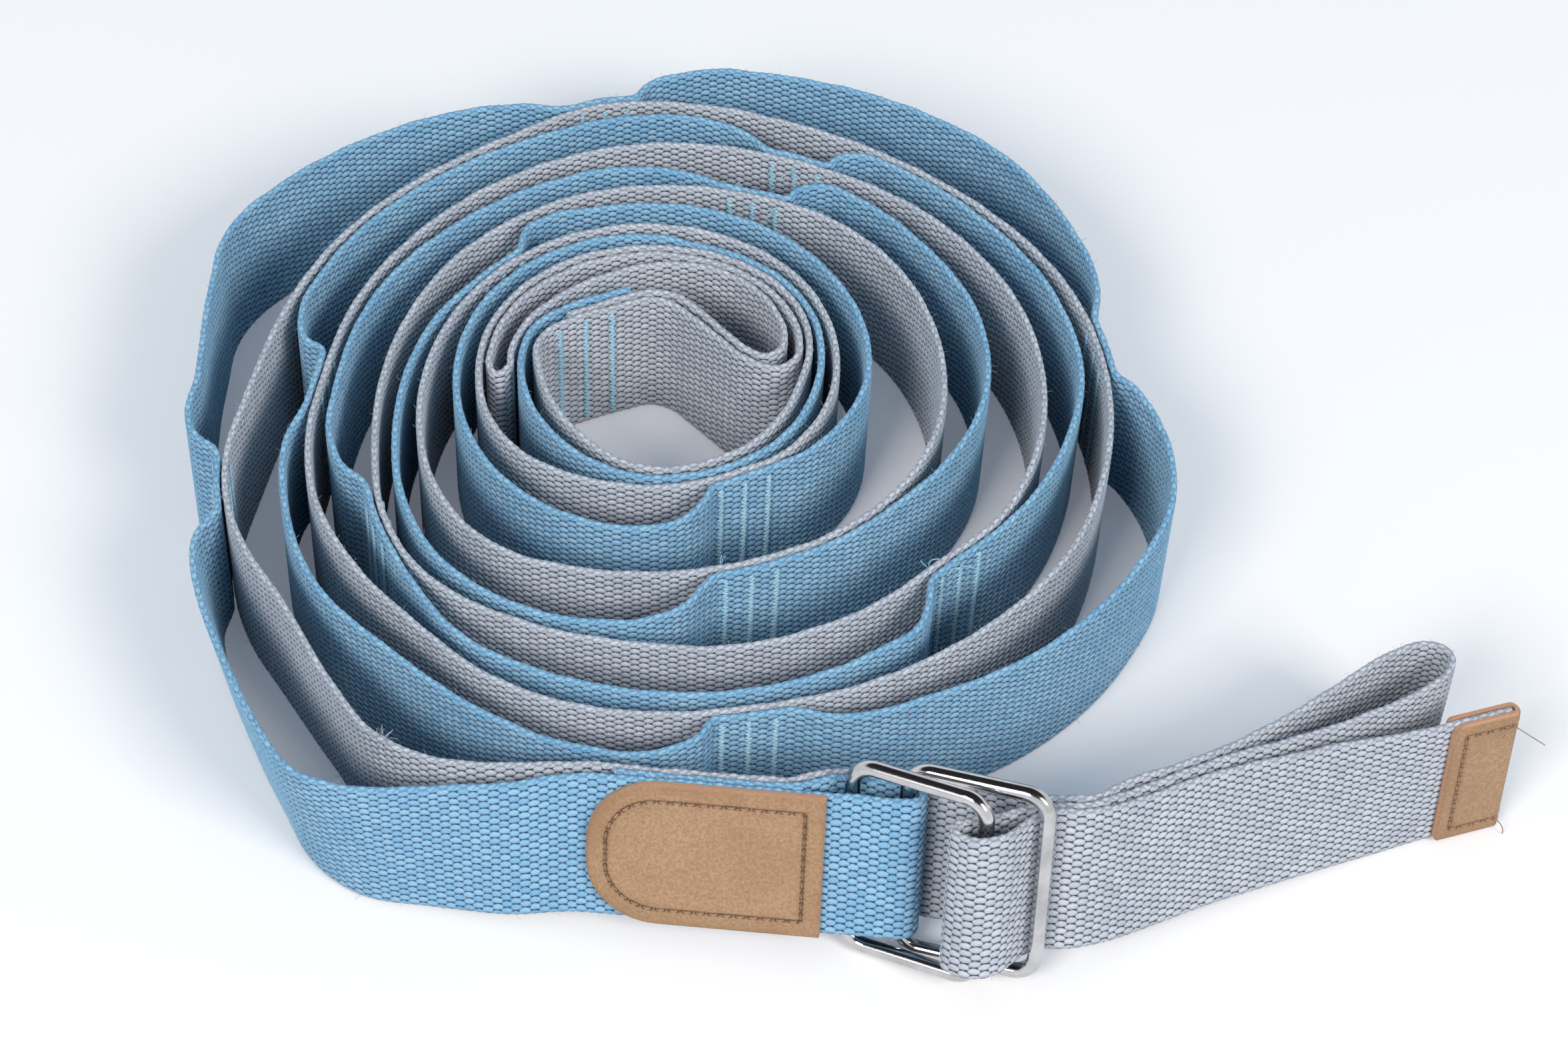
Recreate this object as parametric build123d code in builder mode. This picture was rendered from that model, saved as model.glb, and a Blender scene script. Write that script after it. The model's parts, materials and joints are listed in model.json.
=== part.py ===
"""Multi-loop stretching strap with a double-ring buckle, rolled up on edge.

A grey base webbing is wound into a loose roll.  A blue webbing is sewn to its outer side at
even intervals, so that it stands off the base in a row of loops.  The inner end of the base is
a sewn-down hand grip.  The outer end runs behind a leather patch, makes a long end loop and
comes back through two steel rings to a leather-tipped tail.

Frame: +X along the front run towards the tail, +Y away from the buckle side, +Z up, millimetres.
The origin is under the middle of the whole strap, on the surface that it rests on.
"""

import os
from math import asin, atan2, ceil, cos, degrees, hypot, radians, sin, sqrt

from build123d import *

os.makedirs("parts", exist_ok=True)

# Webbing
webbing_width = 38.0
webbing_thickness = 1.8
sewing_gap = 0.15  # air left between two sewn layers
joint_gap = 0.3  # air between two pieces that only meet end to end

# Sewn joins between the base and the blue webbing
tack_length = 14.0
tack_rows = 3
tack_row_pitch = 6.0
flap_row_pitch = 7.0
row_width = 1.2
row_relief = 0.35
row_margin = 1.0  # from a row's end to the webbing's edge
thread_gap = 0.03

# Rings
ring_wire = 3.6
ring_inner_height = 44.5
ring_inner_width = 27.6
ring_foot_clearance = 2.3  # from a ring's lower bar up to the webbing's edge
ring_corner = 5.2  # on the wire's centre line

# Leather
leather_thickness = 1.8
patch_length = 52.0
patch_round = 16.0
patch_square_corner = 1.0
patch_seam_inset = 4.3
tip_length = 17.0
tip_leather = 1.4
tip_corner = 2.5
tip_seam_inset = 3.5
stitch_length = 2.0
stitch_pitch = 2.9
stitch_width = 0.7
stitch_relief = 0.3

# Buckle end: a flat stretch that leans back against the roll
buckle_yaw = -5.8
buckle_rise = 1.5
buckle_lean = 17.0
buckle_set_back = 137.8  # from the roll's middle to the front run's foot
buckle_start = -14.0
patch_start = -13.0
front_ring_at = 44.2
rear_ring_at = 56.2
front_ring_turn = -19.5
rear_ring_turn = -12.5
pocket_clearance = 0.9  # from a ring's wire to the fold around it
fold_tail_end = -8.0
front_strap_end = 41.0
run_past_ring = 7.8  # from the rear ring to where the three grey runs leave the buckle
outward_depth = 6.9  # how far behind the front strap each run is there
return_depth = 4.5
tail_depth = 2.2
outward_slope = 0.12  # how fast the runs set off backwards there
tail_slope = 0.36
tail_hinge_gap = 0.5

# The roll
roll_centre = Vector(-41.8, 22.0)

# Each station is (azimuth in degrees, free radius in mm).  The strap lies at its free radius
# plus the thickness of the layers wound under it, so it stays clear when the webbing is thicker.
# A span runs from one sewn join to the next, and a few bend where other layers start under them.
BASE_SPANS = [
    [(-2, [(109, 27.6), (127, 28.4), (143, 31.0), (155, 33.8), (163, 34.5), (180, 32.5),
           (203, 31.2), (227, 31.5), (251, 33.6), (270, 35.0), (291, 34.9)]),
     (2, [(-49, 28.1), (-26, 28.6), (-3, 30.4), (15, 33.8), (35, 36.9), (53, 38.1), (64, 38.3)])],
    [(2, [(85, 38.6), (109, 39.2), (133, 39.9), (158, 40.1), (184, 39.8), (209, 39.3),
          (226, 37.9), (242, 35.6), (259, 34.0), (280, 33.3), (302, 33.5)])],
    [(4, [(-44, 31.7), (-27, 33.1), (-9, 34.5), (16, 36.6), (43, 39.3), (68, 41.3), (91, 42.5),
          (119, 43.9), (140, 44.6)])],
    [(4, [(157, 45.7), (179, 48.3), (198, 52.1), (217, 57.0), (228, 59.3), (239, 59.8),
          (255, 57.9), (271, 56.3), (290, 56.2)])],
    [(6, [(-48, 54.6), (-35, 56.2), (-15, 57.5), (10, 57.6), (35, 57.7), (55, 56.5), (70, 54.3)])],
    [(6, [(92, 53.1), (116, 52.4), (142, 52.0), (162, 52.5), (183, 55.3), (200, 60.0),
          (218, 68.2)])],
    [(6, [(227, 71.6), (236, 73.2), (250, 73.2), (266, 73.5), (282, 75.7), (300, 76.8),
          (321, 77.6)])],
    [(8, [(-30, 76.9), (-16, 78.2), (1, 77.9), (17, 76.3), (33, 73.4), (49, 70.0), (66, 66.7)])],
    [(8, [(87, 65.3), (109, 63.2), (129, 61.5), (150, 61.6), (166, 63.0), (183, 65.9)])],
    [(8, [(196, 71.0), (208, 75.3), (222, 78.4), (236, 81.4), (248, 86.2), (261, 89.2),
          (270, 89.6), (282, 89.8)])],
    [(10, [(-64, 88.0), (-46, 90.3), (-30, 92.2), (-15, 91.4), (6, 89.0)])],
    [(10, [(22, 85.6), (38, 80.7), (53, 77.4), (68, 75.9), (84, 76.4), (100, 76.9)])],
    [(10, [(116, 72.3), (132, 71.1), (150, 72.5), (167, 74.6), (182, 78.4), (201, 89.3)])],
]
BASE_SEWN_END = [(10, [(205, 90.9)])]

# The blue loops, from just after one sewn join to just before the next
LOOP_SPANS = [
    [(-1, [(106, 30.6), (123, 31.0), (140, 33.3), (154, 35.4), (170, 35.6), (190, 34.6),
           (211, 34.3), (233, 34.7), (253, 35.5), (270, 35.9), (287, 35.9)]),
     (3, [(-51, 29.6), (-31, 30.7), (-9, 32.0), (9, 34.1), (29, 36.7)])],
    [(3, [(97, 41.0), (120, 42.2), (145, 43.0), (171, 43.2), (196, 43.7), (220, 44.9),
          (243, 45.4), (262, 45.0), (274, 43.2), (281, 40.2), (286, 36.6)])],
    [(5, [(-35, 34.3), (-21, 37.0), (-5, 40.2), (16, 42.7), (40, 44.6), (64, 46.8), (87, 48.0),
          (106, 48.9), (120, 50.3), (126, 49.5), (129, 46.9)])],
    [(5, [(160, 47.2), (177, 50.4), (196, 55.4), (215, 62.9), (231, 68.9), (246, 70.9),
          (260, 70.3), (270, 67.8), (276, 63.9), (280, 58.5)])],
    [(7, [(-49, 55.0), (-35, 57.2), (-22, 60.8), (-5, 65.5), (13, 67.4), (35, 66.1), (52, 65.3),
          (59, 64.0), (62, 60.8)])],
    [(7, [(84, 56.0), (98, 58.3), (118, 57.7), (141, 58.5), (162, 61.0), (183, 64.1),
          (198, 68.0), (204, 67.7), (209, 65.2)])],
    [(7, [(232, 74.9), (241, 80.1), (256, 83.6), (270, 85.6), (285, 87.0), (300, 86.5),
          (309, 84.9), (312, 81.5)])],
    [(9, [(-24, 79.4), (-12, 82.7), (2, 85.6), (16, 84.4), (36, 80.2), (50, 77.3), (57, 75.8),
          (60, 72.2)])],
    [(9, [(76, 70.1), (84, 73.3), (95, 73.4), (117, 70.5), (138, 70.8), (158, 72.4),
          (168, 72.9), (174, 70.4)])],
    [(9, [(196, 74.5), (208, 80.7), (222, 86.8), (236, 89.1), (250, 94.3), (262, 98.4),
          (271, 98.4), (276, 93.9)])],
    [(11, [(-67, 92.6), (-56, 96.8), (-42, 102.3), (-28, 105.8), (-16, 106.4), (-8, 101.9),
           (-1, 94.5)])],
    [(11, [(17, 92.3), (30, 95.2), (43, 96.3), (59, 93.5), (75, 90.2), (86, 87.6), (93, 82.2)])],
    [(11, [(113, 80.8), (130, 87.9), (145, 93.3), (157, 96.6), (169, 92.3), (181, 90.2),
           (191, 92.2)])],
]

# The hand grip: one layer out from the flap, a fold, and one layer back
GRIP_STATIONS = [
    (-2, [(109, 27.6)]),
    (1, [(97, 22.7), (82, 20.9), (66, 17.7), (39, 16.3), (16, 18.7), (6, 23.3), (5, 27.8),
         (10, 31.6), (21, 34.2), (40, 36.2), (62, 37.5), (86, 37.9), (110, 38.5), (132, 39.0),
         (153, 39.6), (170, 39.4), (179, 39.0)]),
    (0, [(183, 38.9), (180, 36.5), (170, 36.5), (152, 35.9), (135, 35.0), (117, 34.8),
         (100, 35.6), (80, 37.0), (60, 37.1), (38, 35.0), (25, 33.1), (16, 30.3), (13, 26.9),
         (20, 22.9), (43, 20.6), (68, 23.0), (86, 26.3), (97, 26.9)]),
    (-1, [(110, 28.1), (127, 28.7), (141, 31.1)]),
]

# Straps that change their lean along the way: (azimuth, free radius, top's shift in X and Y,
# lift of the lower edge), measured at half height
BASE_CORNER = [
    (209, 91.9, 0.0, 0.0, 0.0), (222, 94.0, 0.0, 0.0, 0.0), (233, 100.6, -1.5, -1.0, 0.0),
    (242, 108.5, -1.0, 0.0, 0.0), (249, 110.9, 0.0, 4.0, 0.6), (256, 109.2, 0.5, 8.0, 1.6),
]
LOOP_CORNER = [
    (207, 96.6, -2.5, 0.0, 0.0), (210, 99.8, -4.0, 0.0, 0.0), (215, 103.0, -5.0, -1.0, 0.0),
    (222, 107.6, -5.0, -2.5, 0.0), (232, 116.6, -4.5, -3.5, 0.0), (238, 122.8, -3.5, -2.0, 0.0),
    (243, 122.8, -2.0, 1.5, 0.5), (250, 117.2, -0.5, 5.0, 1.2), (257, 113.2, 0.5, 8.5, 2.2),
]

# The three grey runs to the right of the buckle, in mm from the roll's middle at half height:
# (x, y, top's shift in X and Y, lift of the lower edge)
OUTWARD_RUN = [
    (104.5, -127.6, 1.0, 11.0, 4.5), (115.5, -122.3, 1.0, 10.5, 3.5),
    (126.5, -116.0, 0.5, 9.0, 2.5), (136.0, -109.3, 0.0, 7.0, 1.5),
    (146.0, -101.3, -0.5, 5.0, 0.5), (156.0, -92.3, -0.5, 3.0, 0.0),
    (166.0, -84.2, 0.0, 2.0, 0.0), (173.0, -80.2, 0.0, 1.0, 0.0),
    (178.6, -79.4, 0.0, 0.0, 0.0), (181.6, -82.2, 0.0, 0.0, 0.0),
    (180.6, -87.0, 0.0, 1.0, 0.0), (176.5, -91.8, 0.0, 2.5, 0.0),
]
RETURN_RUN = [
    (170.0, -97.2, 0.0, 4.5, 0.3), (160.0, -103.6, 0.5, 6.5, 0.8),
    (149.0, -109.6, 0.5, 8.5, 1.4), (137.0, -114.9, 1.0, 10.0, 2.4),
    (125.0, -120.3, 1.0, 11.0, 3.2), (113.5, -126.2, 1.0, 11.0, 4.0),
    (103.5, -131.2, 1.0, 11.0, 4.8),
]
TAIL_RUN = [
    (104.0, -133.8, 1.0, 11.0, 4.6), (114.5, -128.6, 1.0, 11.0, 3.8),
    (126.0, -122.9, 1.0, 10.5, 2.8), (140.0, -117.5, 1.0, 9.0, 1.8),
    (155.0, -112.0, 0.5, 7.0, 0.8), (167.0, -108.1, -0.5, 4.5, 0.0),
    (175.5, -105.3, -1.0, 3.5, 0.3), (193.5, -99.4, -1.0, 3.5, 0.3),
]

# Sizes that follow from the ones above
up = Vector(0, 0, 1)
half_thickness = webbing_thickness / 2
layer_pitch = webbing_thickness + sewing_gap
wire_radius = ring_wire / 2
ring_height = ring_inner_height + ring_wire
ring_width = ring_inner_width + ring_wire
webbing_foot = ring_wire + ring_foot_clearance  # lower edge of the webbing above the rings' foot
webbing_middle = webbing_foot + webbing_width / 2
bar_set_back = half_thickness + pocket_clearance + wire_radius
fold_depth = 2 * bar_set_back
run_out = rear_ring_at + ring_width * cos(radians(rear_ring_turn)) + run_past_ring


# ---------------------------------------------------------------- courses made of tangent arcs
def to_the_right(heading):
    """The unit vector to the right of a heading."""
    return Vector(heading.Y, -heading.X)


class Arc:
    """An arc from start to end that sets off along heading."""

    def __init__(self, start, heading, end):
        chord = end - start
        self.start, self.heading, self.end = start, heading, end
        self.chord = chord.length
        self.direction = chord.normalized()
        self.end_heading = self.direction * (2 * heading.dot(self.direction)) - heading
        turn = heading.X * self.direction.Y - heading.Y * self.direction.X
        self.half_turn = asin(max(-1.0, min(1.0, turn)))
        straight = abs(self.half_turn) < 1e-4
        self.length = self.chord if straight else self.chord * self.half_turn / sin(self.half_turn)

    def at(self, share):
        """Point and heading at a share of the arc's length."""
        angle = self.half_turn * share
        whole = sin(self.half_turn)
        reach = share if abs(whole) < 1e-4 else sin(angle) / whole
        way = self.heading.rotate(Axis.Z, degrees(angle))
        return self.start + way * (self.chord * reach), way.rotate(Axis.Z, degrees(angle))

    def draw(self, offset):
        """Draw the arc moved sideways by offset, inside a BuildLine."""
        middle, way = self.at(0.5)
        ends = [self.start + to_the_right(self.heading) * offset,
                self.end + to_the_right(self.end_heading) * offset]
        if abs(self.half_turn) < 1e-4:
            Line(*ends)
        else:
            ThreePointArc(ends[0], middle + to_the_right(way) * offset, ends[1])


class Course:
    """A strap's centre line seen from above: tangent arcs through its stations."""

    def __init__(self, points, fixed=None):
        self.points = points
        headings = self.find_headings(points, fixed or {})
        self.arcs = []
        for here, way, there, next_way in zip(points, headings, points[1:], headings[1:]):
            self.add_pair(here, way, there, next_way)

    @staticmethod
    def find_headings(points, fixed):
        """A heading at each station, along the circle through it and its neighbours."""
        headings = []
        for before, here, after in zip(points, points[1:], points[2:]):
            back, ahead = here - before, after - here
            mean = back.normalized() * ahead.length + ahead.normalized() * back.length
            headings.append(mean.normalized())
        first, last = (points[1] - points[0]).normalized(), (points[-1] - points[-2]).normalized()
        inner_first, inner_last = (headings[0], headings[-1]) if headings else (first, last)
        headings.insert(0, first * (2 * first.dot(inner_first)) - inner_first)
        headings.append(last * (2 * last.dot(inner_last)) - inner_last)
        for index, heading in fixed.items():
            headings[index] = heading
        return headings

    def add_pair(self, here, way, there, next_way):
        """Two arcs that leave here along way and reach there along next_way."""
        gap, both = there - here, way + next_way
        bend, run = 2 * (1 - way.dot(next_way)), gap.dot(both)
        square = gap.dot(gap)
        arm = square / (2 * run) if bend < 1e-9 else (sqrt(run * run + bend * square) - run) / bend
        joint = (here + way * arm + there - next_way * arm) * 0.5
        self.arcs += [Arc(here, way, joint), Arc(joint, (joint - here - way * arm).normalized(), there)]

    @property
    def length(self):
        return sum(arc.length for arc in self.arcs)

    def at(self, distance):
        """Point and heading at a distance along the course."""
        for arc in self.arcs:
            if distance <= arc.length or arc is self.arcs[-1]:
                return arc.at(distance / arc.length)
            distance -= arc.length

    def part(self, first, last):
        """The course between two stations."""
        piece = Course.__new__(Course)
        piece.points, piece.arcs = self.points[first:last + 1], self.arcs[2 * first:2 * last]
        return piece

    def draw(self, inner, outer):
        """Draw the closed outline between two offsets, inside a BuildLine."""
        for offset in (inner, outer):
            for arc in self.arcs:
                arc.draw(offset)
        for point, way in ((self.arcs[0].start, self.arcs[0].heading),
                           (self.arcs[-1].end, self.arcs[-1].end_heading)):
            Line(point + to_the_right(way) * inner, point + to_the_right(way) * outer)


def polar(azimuth, radius):
    """A point of the roll."""
    return roll_centre + Vector(radius * cos(radians(azimuth)), radius * sin(radians(azimuth)))


def wound(stations):
    """The points of a span of the roll."""
    return [polar(azimuth, free + layers * webbing_thickness)
            for layers, run in stations for azimuth, free in run]


def save(part, name):
    """Label a finished piece and write its STEP file."""
    part.label = name
    export_step(part, f"parts/{name}.step")


def make_upright_strap(name, course, plane=Plane.XY, width=webbing_width):
    """A strap that stands on edge on a plane, along a course drawn in it."""
    with BuildPart() as strap:
        with BuildSketch(plane):
            with BuildLine():
                course.draw(-half_thickness, half_thickness)
            make_face()
        extrude(amount=width)
    save(strap.part, name)


def make_leaning_strap(name, course, stations, step=6.0):
    """A strap whose lean and lift change from station to station.

    Each station holds the top's shift in X and Y and the lift of the lower edge.
    """
    reach = [0.0]
    for first, second in zip(course.arcs[::2], course.arcs[1::2]):
        reach.append(reach[-1] + first.length + second.length)
    sections = []
    for begin, end, from_here, to_there in zip(reach, reach[1:], stations, stations[1:]):
        count = max(1, ceil((end - begin) / step))
        sections += [(begin + (end - begin) * i / count, i / count, from_here, to_there)
                     for i in range(count)]
    sections.append((reach[-1], 1.0, stations[-2], stations[-1]))
    with BuildPart() as strap:
        for distance, share, from_here, to_there in sections:
            point, heading = course.at(distance)
            shift_x, shift_y, lift = (a + (b - a) * share for a, b in zip(from_here, to_there))
            height = sqrt(webbing_width**2 - shift_x**2 - shift_y**2)
            across = Vector(shift_x, shift_y, height).normalized()
            side = heading.cross(across).normalized()
            edge_drop = half_thickness * hypot(shift_x, shift_y) / webbing_width
            middle = Vector(point.X, point.Y, lift + edge_drop + height / 2)
            with BuildSketch(Plane(middle, x_dir=across, z_dir=across.cross(side))):
                Rectangle(webbing_width, webbing_thickness)
        loft(ruled=True)
    save(strap.part, name)


# ---------------------------------------------------------------- the buckle end's own frame
def buckle_frame():
    """The leaning plane that the buckle end is drawn in: X along it, Y back, Z up its slope."""
    yaw, rise, lean = radians(buckle_yaw), radians(buckle_rise), radians(buckle_lean)
    along = Vector(cos(yaw) * cos(rise), sin(yaw) * cos(rise), sin(rise))
    slope = Vector(-sin(yaw) * sin(lean), cos(yaw) * sin(lean), cos(lean))
    slope = (slope - along * slope.dot(along)).normalized()
    # the front ring's lower left bar is the lowest point, and it touches the ground
    back = slope.cross(along)
    bar_foot = along * front_ring_at + back * bar_set_back + slope * wire_radius
    return Plane(Vector(roll_centre.X, roll_centre.Y - buckle_set_back, wire_radius - bar_foot.Z),
                 x_dir=along, z_dir=slope)


buckle = buckle_frame()
buckle_shift = buckle.z_dir * webbing_width


def buckle_station(along, back):
    """A buckle point as a station of a leaning strap: plan point and lean."""
    point = buckle.from_local_coords(Vector(along, back, webbing_middle))
    edge_drop = half_thickness * hypot(buckle_shift.X, buckle_shift.Y) / webbing_width
    lift = point.Z - buckle_shift.Z / 2 - edge_drop
    return Vector(point.X, point.Y), (buckle_shift.X, buckle_shift.Y, lift)


def buckle_heading(along, back):
    """The heading of a leaning strap whose cut end is square to a direction of the buckle."""
    way = buckle.x_dir * along + buckle.y_dir * back
    level = way - buckle.z_dir * (way.Z / buckle.z_dir.Z)
    return Vector(level.X, level.Y).normalized()


def corner_stations(rows, layers):
    """Plan points and leans of a strap that leaves the roll."""
    points = [polar(azimuth, free + layers * webbing_thickness) for azimuth, free, *_ in rows]
    return points, [tuple(row[2:]) for row in rows]


def run_stations(rows):
    """Plan points and leans of a grey run to the right of the buckle."""
    return [roll_centre + Vector(row[0], row[1]) for row in rows], [tuple(row[2:]) for row in rows]


# ---------------------------------------------------------------- base webbing of the roll
span_ends = [0]
base_points = []
for span in BASE_SPANS + [BASE_SEWN_END]:
    base_points += wound(span)
    span_ends.append(len(base_points) - 1)
corner_points, corner_leans = corner_stations(BASE_CORNER, 10)
front_point, front_lean = buckle_station(buckle_start - joint_gap, 2 * layer_pitch)
front_way = buckle_heading(1, 0)
base_course = Course(base_points + corner_points + [front_point], {-1: front_way})
joins = [base_course.part(0, end).length for end in span_ends]
base_ends = span_ends[:-2] + span_ends[-1:]
for number, (first, last) in enumerate(zip(base_ends, base_ends[1:]), 1):
    make_upright_strap(f"base_{number:02d}", base_course.part(first, last))

grip_course = Course(wound(GRIP_STATIONS), fixed={0: base_course.arcs[0].heading * -1})
make_upright_strap("hand_grip", grip_course)


# ---------------------------------------------------------------- blue loops of the roll
def beside_base(distance):
    """Where the blue webbing lies against the base, and its heading there."""
    point, heading = base_course.at(distance)
    return point + to_the_right(heading) * layer_pitch, heading


def loop_course(span, begin, end):
    """A loop's course: sewn to the base at the distances in begin and end, and free between."""
    sewn_from, sewn_to = [beside_base(d) for d in begin], [beside_base(d) for d in end]
    free = wound(span)
    points = [point for point, _ in sewn_from] + free + [point for point, _ in sewn_to]
    fixed = {index: way for index, (_, way) in enumerate(sewn_from)}
    fixed.update({index: way for index, (_, way) in enumerate(sewn_to, len(sewn_from) + len(free))})
    return Course(points, fixed)


loop_courses = []
half_tack = tack_length / 2
for number, (span, start_join, end_join) in enumerate(zip(LOOP_SPANS, joins, joins[1:]), 1):
    begin = [start_join, start_join + half_tack] if number > 1 else []
    end = [end_join - half_tack, end_join]
    if number == len(LOOP_SPANS):
        end.append(joins[-1])
    loop_courses.append(loop_course(span, begin, end))
    make_upright_strap(f"loop_{number:02d}", loop_courses[-1])


# ---------------------------------------------------------------- sewn joins
def row_planes(places, offset):
    """Planes at the foot of stitch rows on a face of the webbing."""
    feet = [point + to_the_right(heading) * offset for point, heading in places]
    return [Plane(Vector(foot.X, foot.Y, row_margin), x_dir=heading)
            for foot, (_, heading) in zip(feet, places)]


def make_tack(name, inner_places, outer_places):
    """The stitch rows of one sewn join, on the base's inner face and the loops' outer face."""
    face = half_thickness + thread_gap + row_relief / 2
    with BuildPart() as tack:
        with BuildSketch(*row_planes(inner_places, -face), *row_planes(outer_places, face)):
            Rectangle(row_width, row_relief)
        extrude(amount=webbing_width - 2 * row_margin)
    save(tack.part, name)


row_steps = [(i - (tack_rows - 1) / 2) * tack_row_pitch for i in range(tack_rows)]
flap_steps = [flap_row_pitch * (i + 0.7) for i in range(tack_rows)]
make_tack("tack_01", [base_course.at(step) for step in flap_steps],
          [loop_courses[0].at(step) for step in flap_steps])
for number, join in enumerate(joins[1:-1], 2):
    make_tack(f"tack_{number:02d}", [base_course.at(join + step) for step in row_steps],
              [beside_base(join + step) for step in row_steps])

# ---------------------------------------------------------------- straps that leave the roll
upright = (0.0, 0.0, 0.0)
base_corner = base_course.part(span_ends[-1], len(base_course.points) - 1)
make_leaning_strap("base_14", base_corner, [upright] + corner_leans + [front_lean])

loop_points, loop_leans = corner_stations(LOOP_CORNER, 11)
loop_start, start_way = beside_base(joins[-1])
loop_front, loop_lean = buckle_station(buckle_start - joint_gap, 0)
loop_corner = Course([loop_start] + loop_points + [loop_front], {0: start_way, -1: front_way})
make_leaning_strap("loop_14", loop_corner, [upright] + loop_leans + [loop_lean])


# ---------------------------------------------------------------- buckle end
buckle_foot = buckle.offset(webbing_foot)
ahead = Vector(1, 0)
make_upright_strap("front_strap", Course([Vector(buckle_start, 0), Vector(front_strap_end, 0)],
                                         {0: ahead, 1: ahead}), buckle_foot)

fold_points = [(front_strap_end + joint_gap, 0), (rear_ring_at, 0),
               (rear_ring_at + bar_set_back, bar_set_back), (rear_ring_at, fold_depth),
               (front_ring_at - 2.5, fold_depth), (front_ring_at - 8, fold_depth * 0.66),
               (front_ring_at - 14, layer_pitch), (fold_tail_end, layer_pitch)]
make_upright_strap("ring_fold", Course([Vector(*p) for p in fold_points],
                                       {0: ahead, 1: ahead, 3: ahead * -1, 4: ahead * -1, 6: ahead * -1,
                                        7: ahead * -1}), buckle_foot)

behind_fold = fold_depth + layer_pitch + sewing_gap
base_front_points = [(buckle_start, 2 * layer_pitch), (front_ring_at - 15.5, 2 * layer_pitch),
                     (front_ring_at - 9.3, behind_fold * 0.745), (front_ring_at - 3, behind_fold),
                     (rear_ring_at + 2, behind_fold), (rear_ring_at + 13, 7.8),
                     (run_out - 10, 6.3), (run_out, outward_depth)]
base_front_way = Vector(1, outward_slope).normalized()
make_upright_strap("base_front", Course([Vector(*p) for p in base_front_points],
                                        {0: ahead, 1: ahead, 3: ahead, 7: base_front_way}), buckle_foot)


def right_bar(at, turn):
    """The middle of a ring's right bar, in the buckle's plane."""
    return Vector(at + ring_width * cos(radians(turn)), bar_set_back + ring_width * sin(radians(turn)))


wrap_way = Vector(1, tail_slope).normalized()
front_bar = right_bar(front_ring_at, front_ring_turn)
rear_bar = right_bar(rear_ring_at, rear_ring_turn)
behind_rings = [rear_bar + Vector(1.8, 6.5), rear_bar + Vector(-3.2, 5.0), rear_bar + Vector(-7.2, 3.1),
                front_bar + Vector(0.8, 3.9)]
round_front_bar = [front_bar + Vector(-4.0, 2.0), front_bar + Vector(-7.2, -0.9),
                   front_bar + Vector(-4.2, -3.9), front_bar + Vector(0.8, -4.5)]
through_rear_ring = [front_bar + Vector(4.4, -2.5), rear_bar + Vector(-5.4, -2.0),
                     rear_bar + Vector(-2.8, 1.7), rear_bar + Vector(0.6, 4.0)]
wrap_points = ([Vector(run_out, return_depth)] + behind_rings + round_front_bar + through_rear_ring
               + [Vector(run_out, tail_depth)])
make_upright_strap("buckle_wrap", Course(wrap_points, {0: wrap_way * -1, -1: wrap_way}), buckle_foot)


def ring_plane(at, turn):
    """A ring's own plane: origin at the foot of its inner bar, X across the ring, Y up the bar."""
    way = buckle.x_dir * cos(radians(turn)) + buckle.y_dir * sin(radians(turn))
    origin = buckle.from_local_coords(Vector(at, bar_set_back, wire_radius))
    return Plane(origin, x_dir=way, z_dir=way.cross(buckle.z_dir))


def make_ring(name, at, turn):
    """A round-wire ring, bent to a rounded rectangle."""
    with BuildPart() as ring:
        with BuildLine(ring_plane(at, turn)) as wire:
            FilletPolyline((0, 0), (0, ring_height), (ring_width, ring_height), (ring_width, 0),
                           radius=ring_corner, close=True)
        with BuildSketch(Plane(wire.line @ 0, z_dir=wire.line % 0)):
            Circle(wire_radius)
        sweep(path=wire.line)
    save(ring.part, name)


make_ring("front_ring", front_ring_at, front_ring_turn)
make_ring("rear_ring", rear_ring_at, rear_ring_turn)


# ---------------------------------------------------------------- leather patch
def patch_plane(back):
    """The plane of the patch's face at a depth, seen from the front: X along it, Y up."""
    return Plane(buckle.from_local_coords(Vector(0, back, webbing_foot)), x_dir=buckle.x_dir,
                 z_dir=buckle.y_dir * -1)


def patch_outline(inset):
    """The patch's D-shaped outline, drawn inside a BuildSketch."""
    length, height = patch_length - 2 * inset, webbing_width - 2 * inset
    with Locations((patch_start + patch_length / 2, webbing_width / 2)):
        Rectangle(length, height)
    corners = vertices().group_by(Axis.X)
    fillet(corners[0], radius=patch_round - inset)
    if inset == 0:
        fillet(corners[-1], radius=patch_square_corner)


patch_back = -half_thickness - thread_gap
with BuildPart() as patch:
    with BuildSketch(patch_plane(patch_back)):
        patch_outline(0)
    extrude(amount=leather_thickness)
save(patch.part, "leather_patch")


def stitch_locations(seam):
    """Evenly spaced places along a seam, each turned to run with it."""
    count = int(seam.length / stitch_pitch)
    shares = [(index + 0.5) / count for index in range(count)]
    ways = [seam % share for share in shares]
    return [Location(seam @ share, (0, 0, degrees(atan2(way.Y, way.X))))
            for share, way in zip(shares, ways)]


with BuildSketch() as seam_sketch:
    patch_outline(patch_seam_inset)
patch_seam = seam_sketch.sketch.faces()[0].outer_wire()
with BuildPart() as patch_thread:
    with BuildSketch(patch_plane(patch_back - leather_thickness - thread_gap)):
        with Locations(*stitch_locations(patch_seam)):
            SlotOverall(stitch_length, stitch_width)
    extrude(amount=stitch_relief)
save(patch_thread.part, "patch_stitching")

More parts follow.
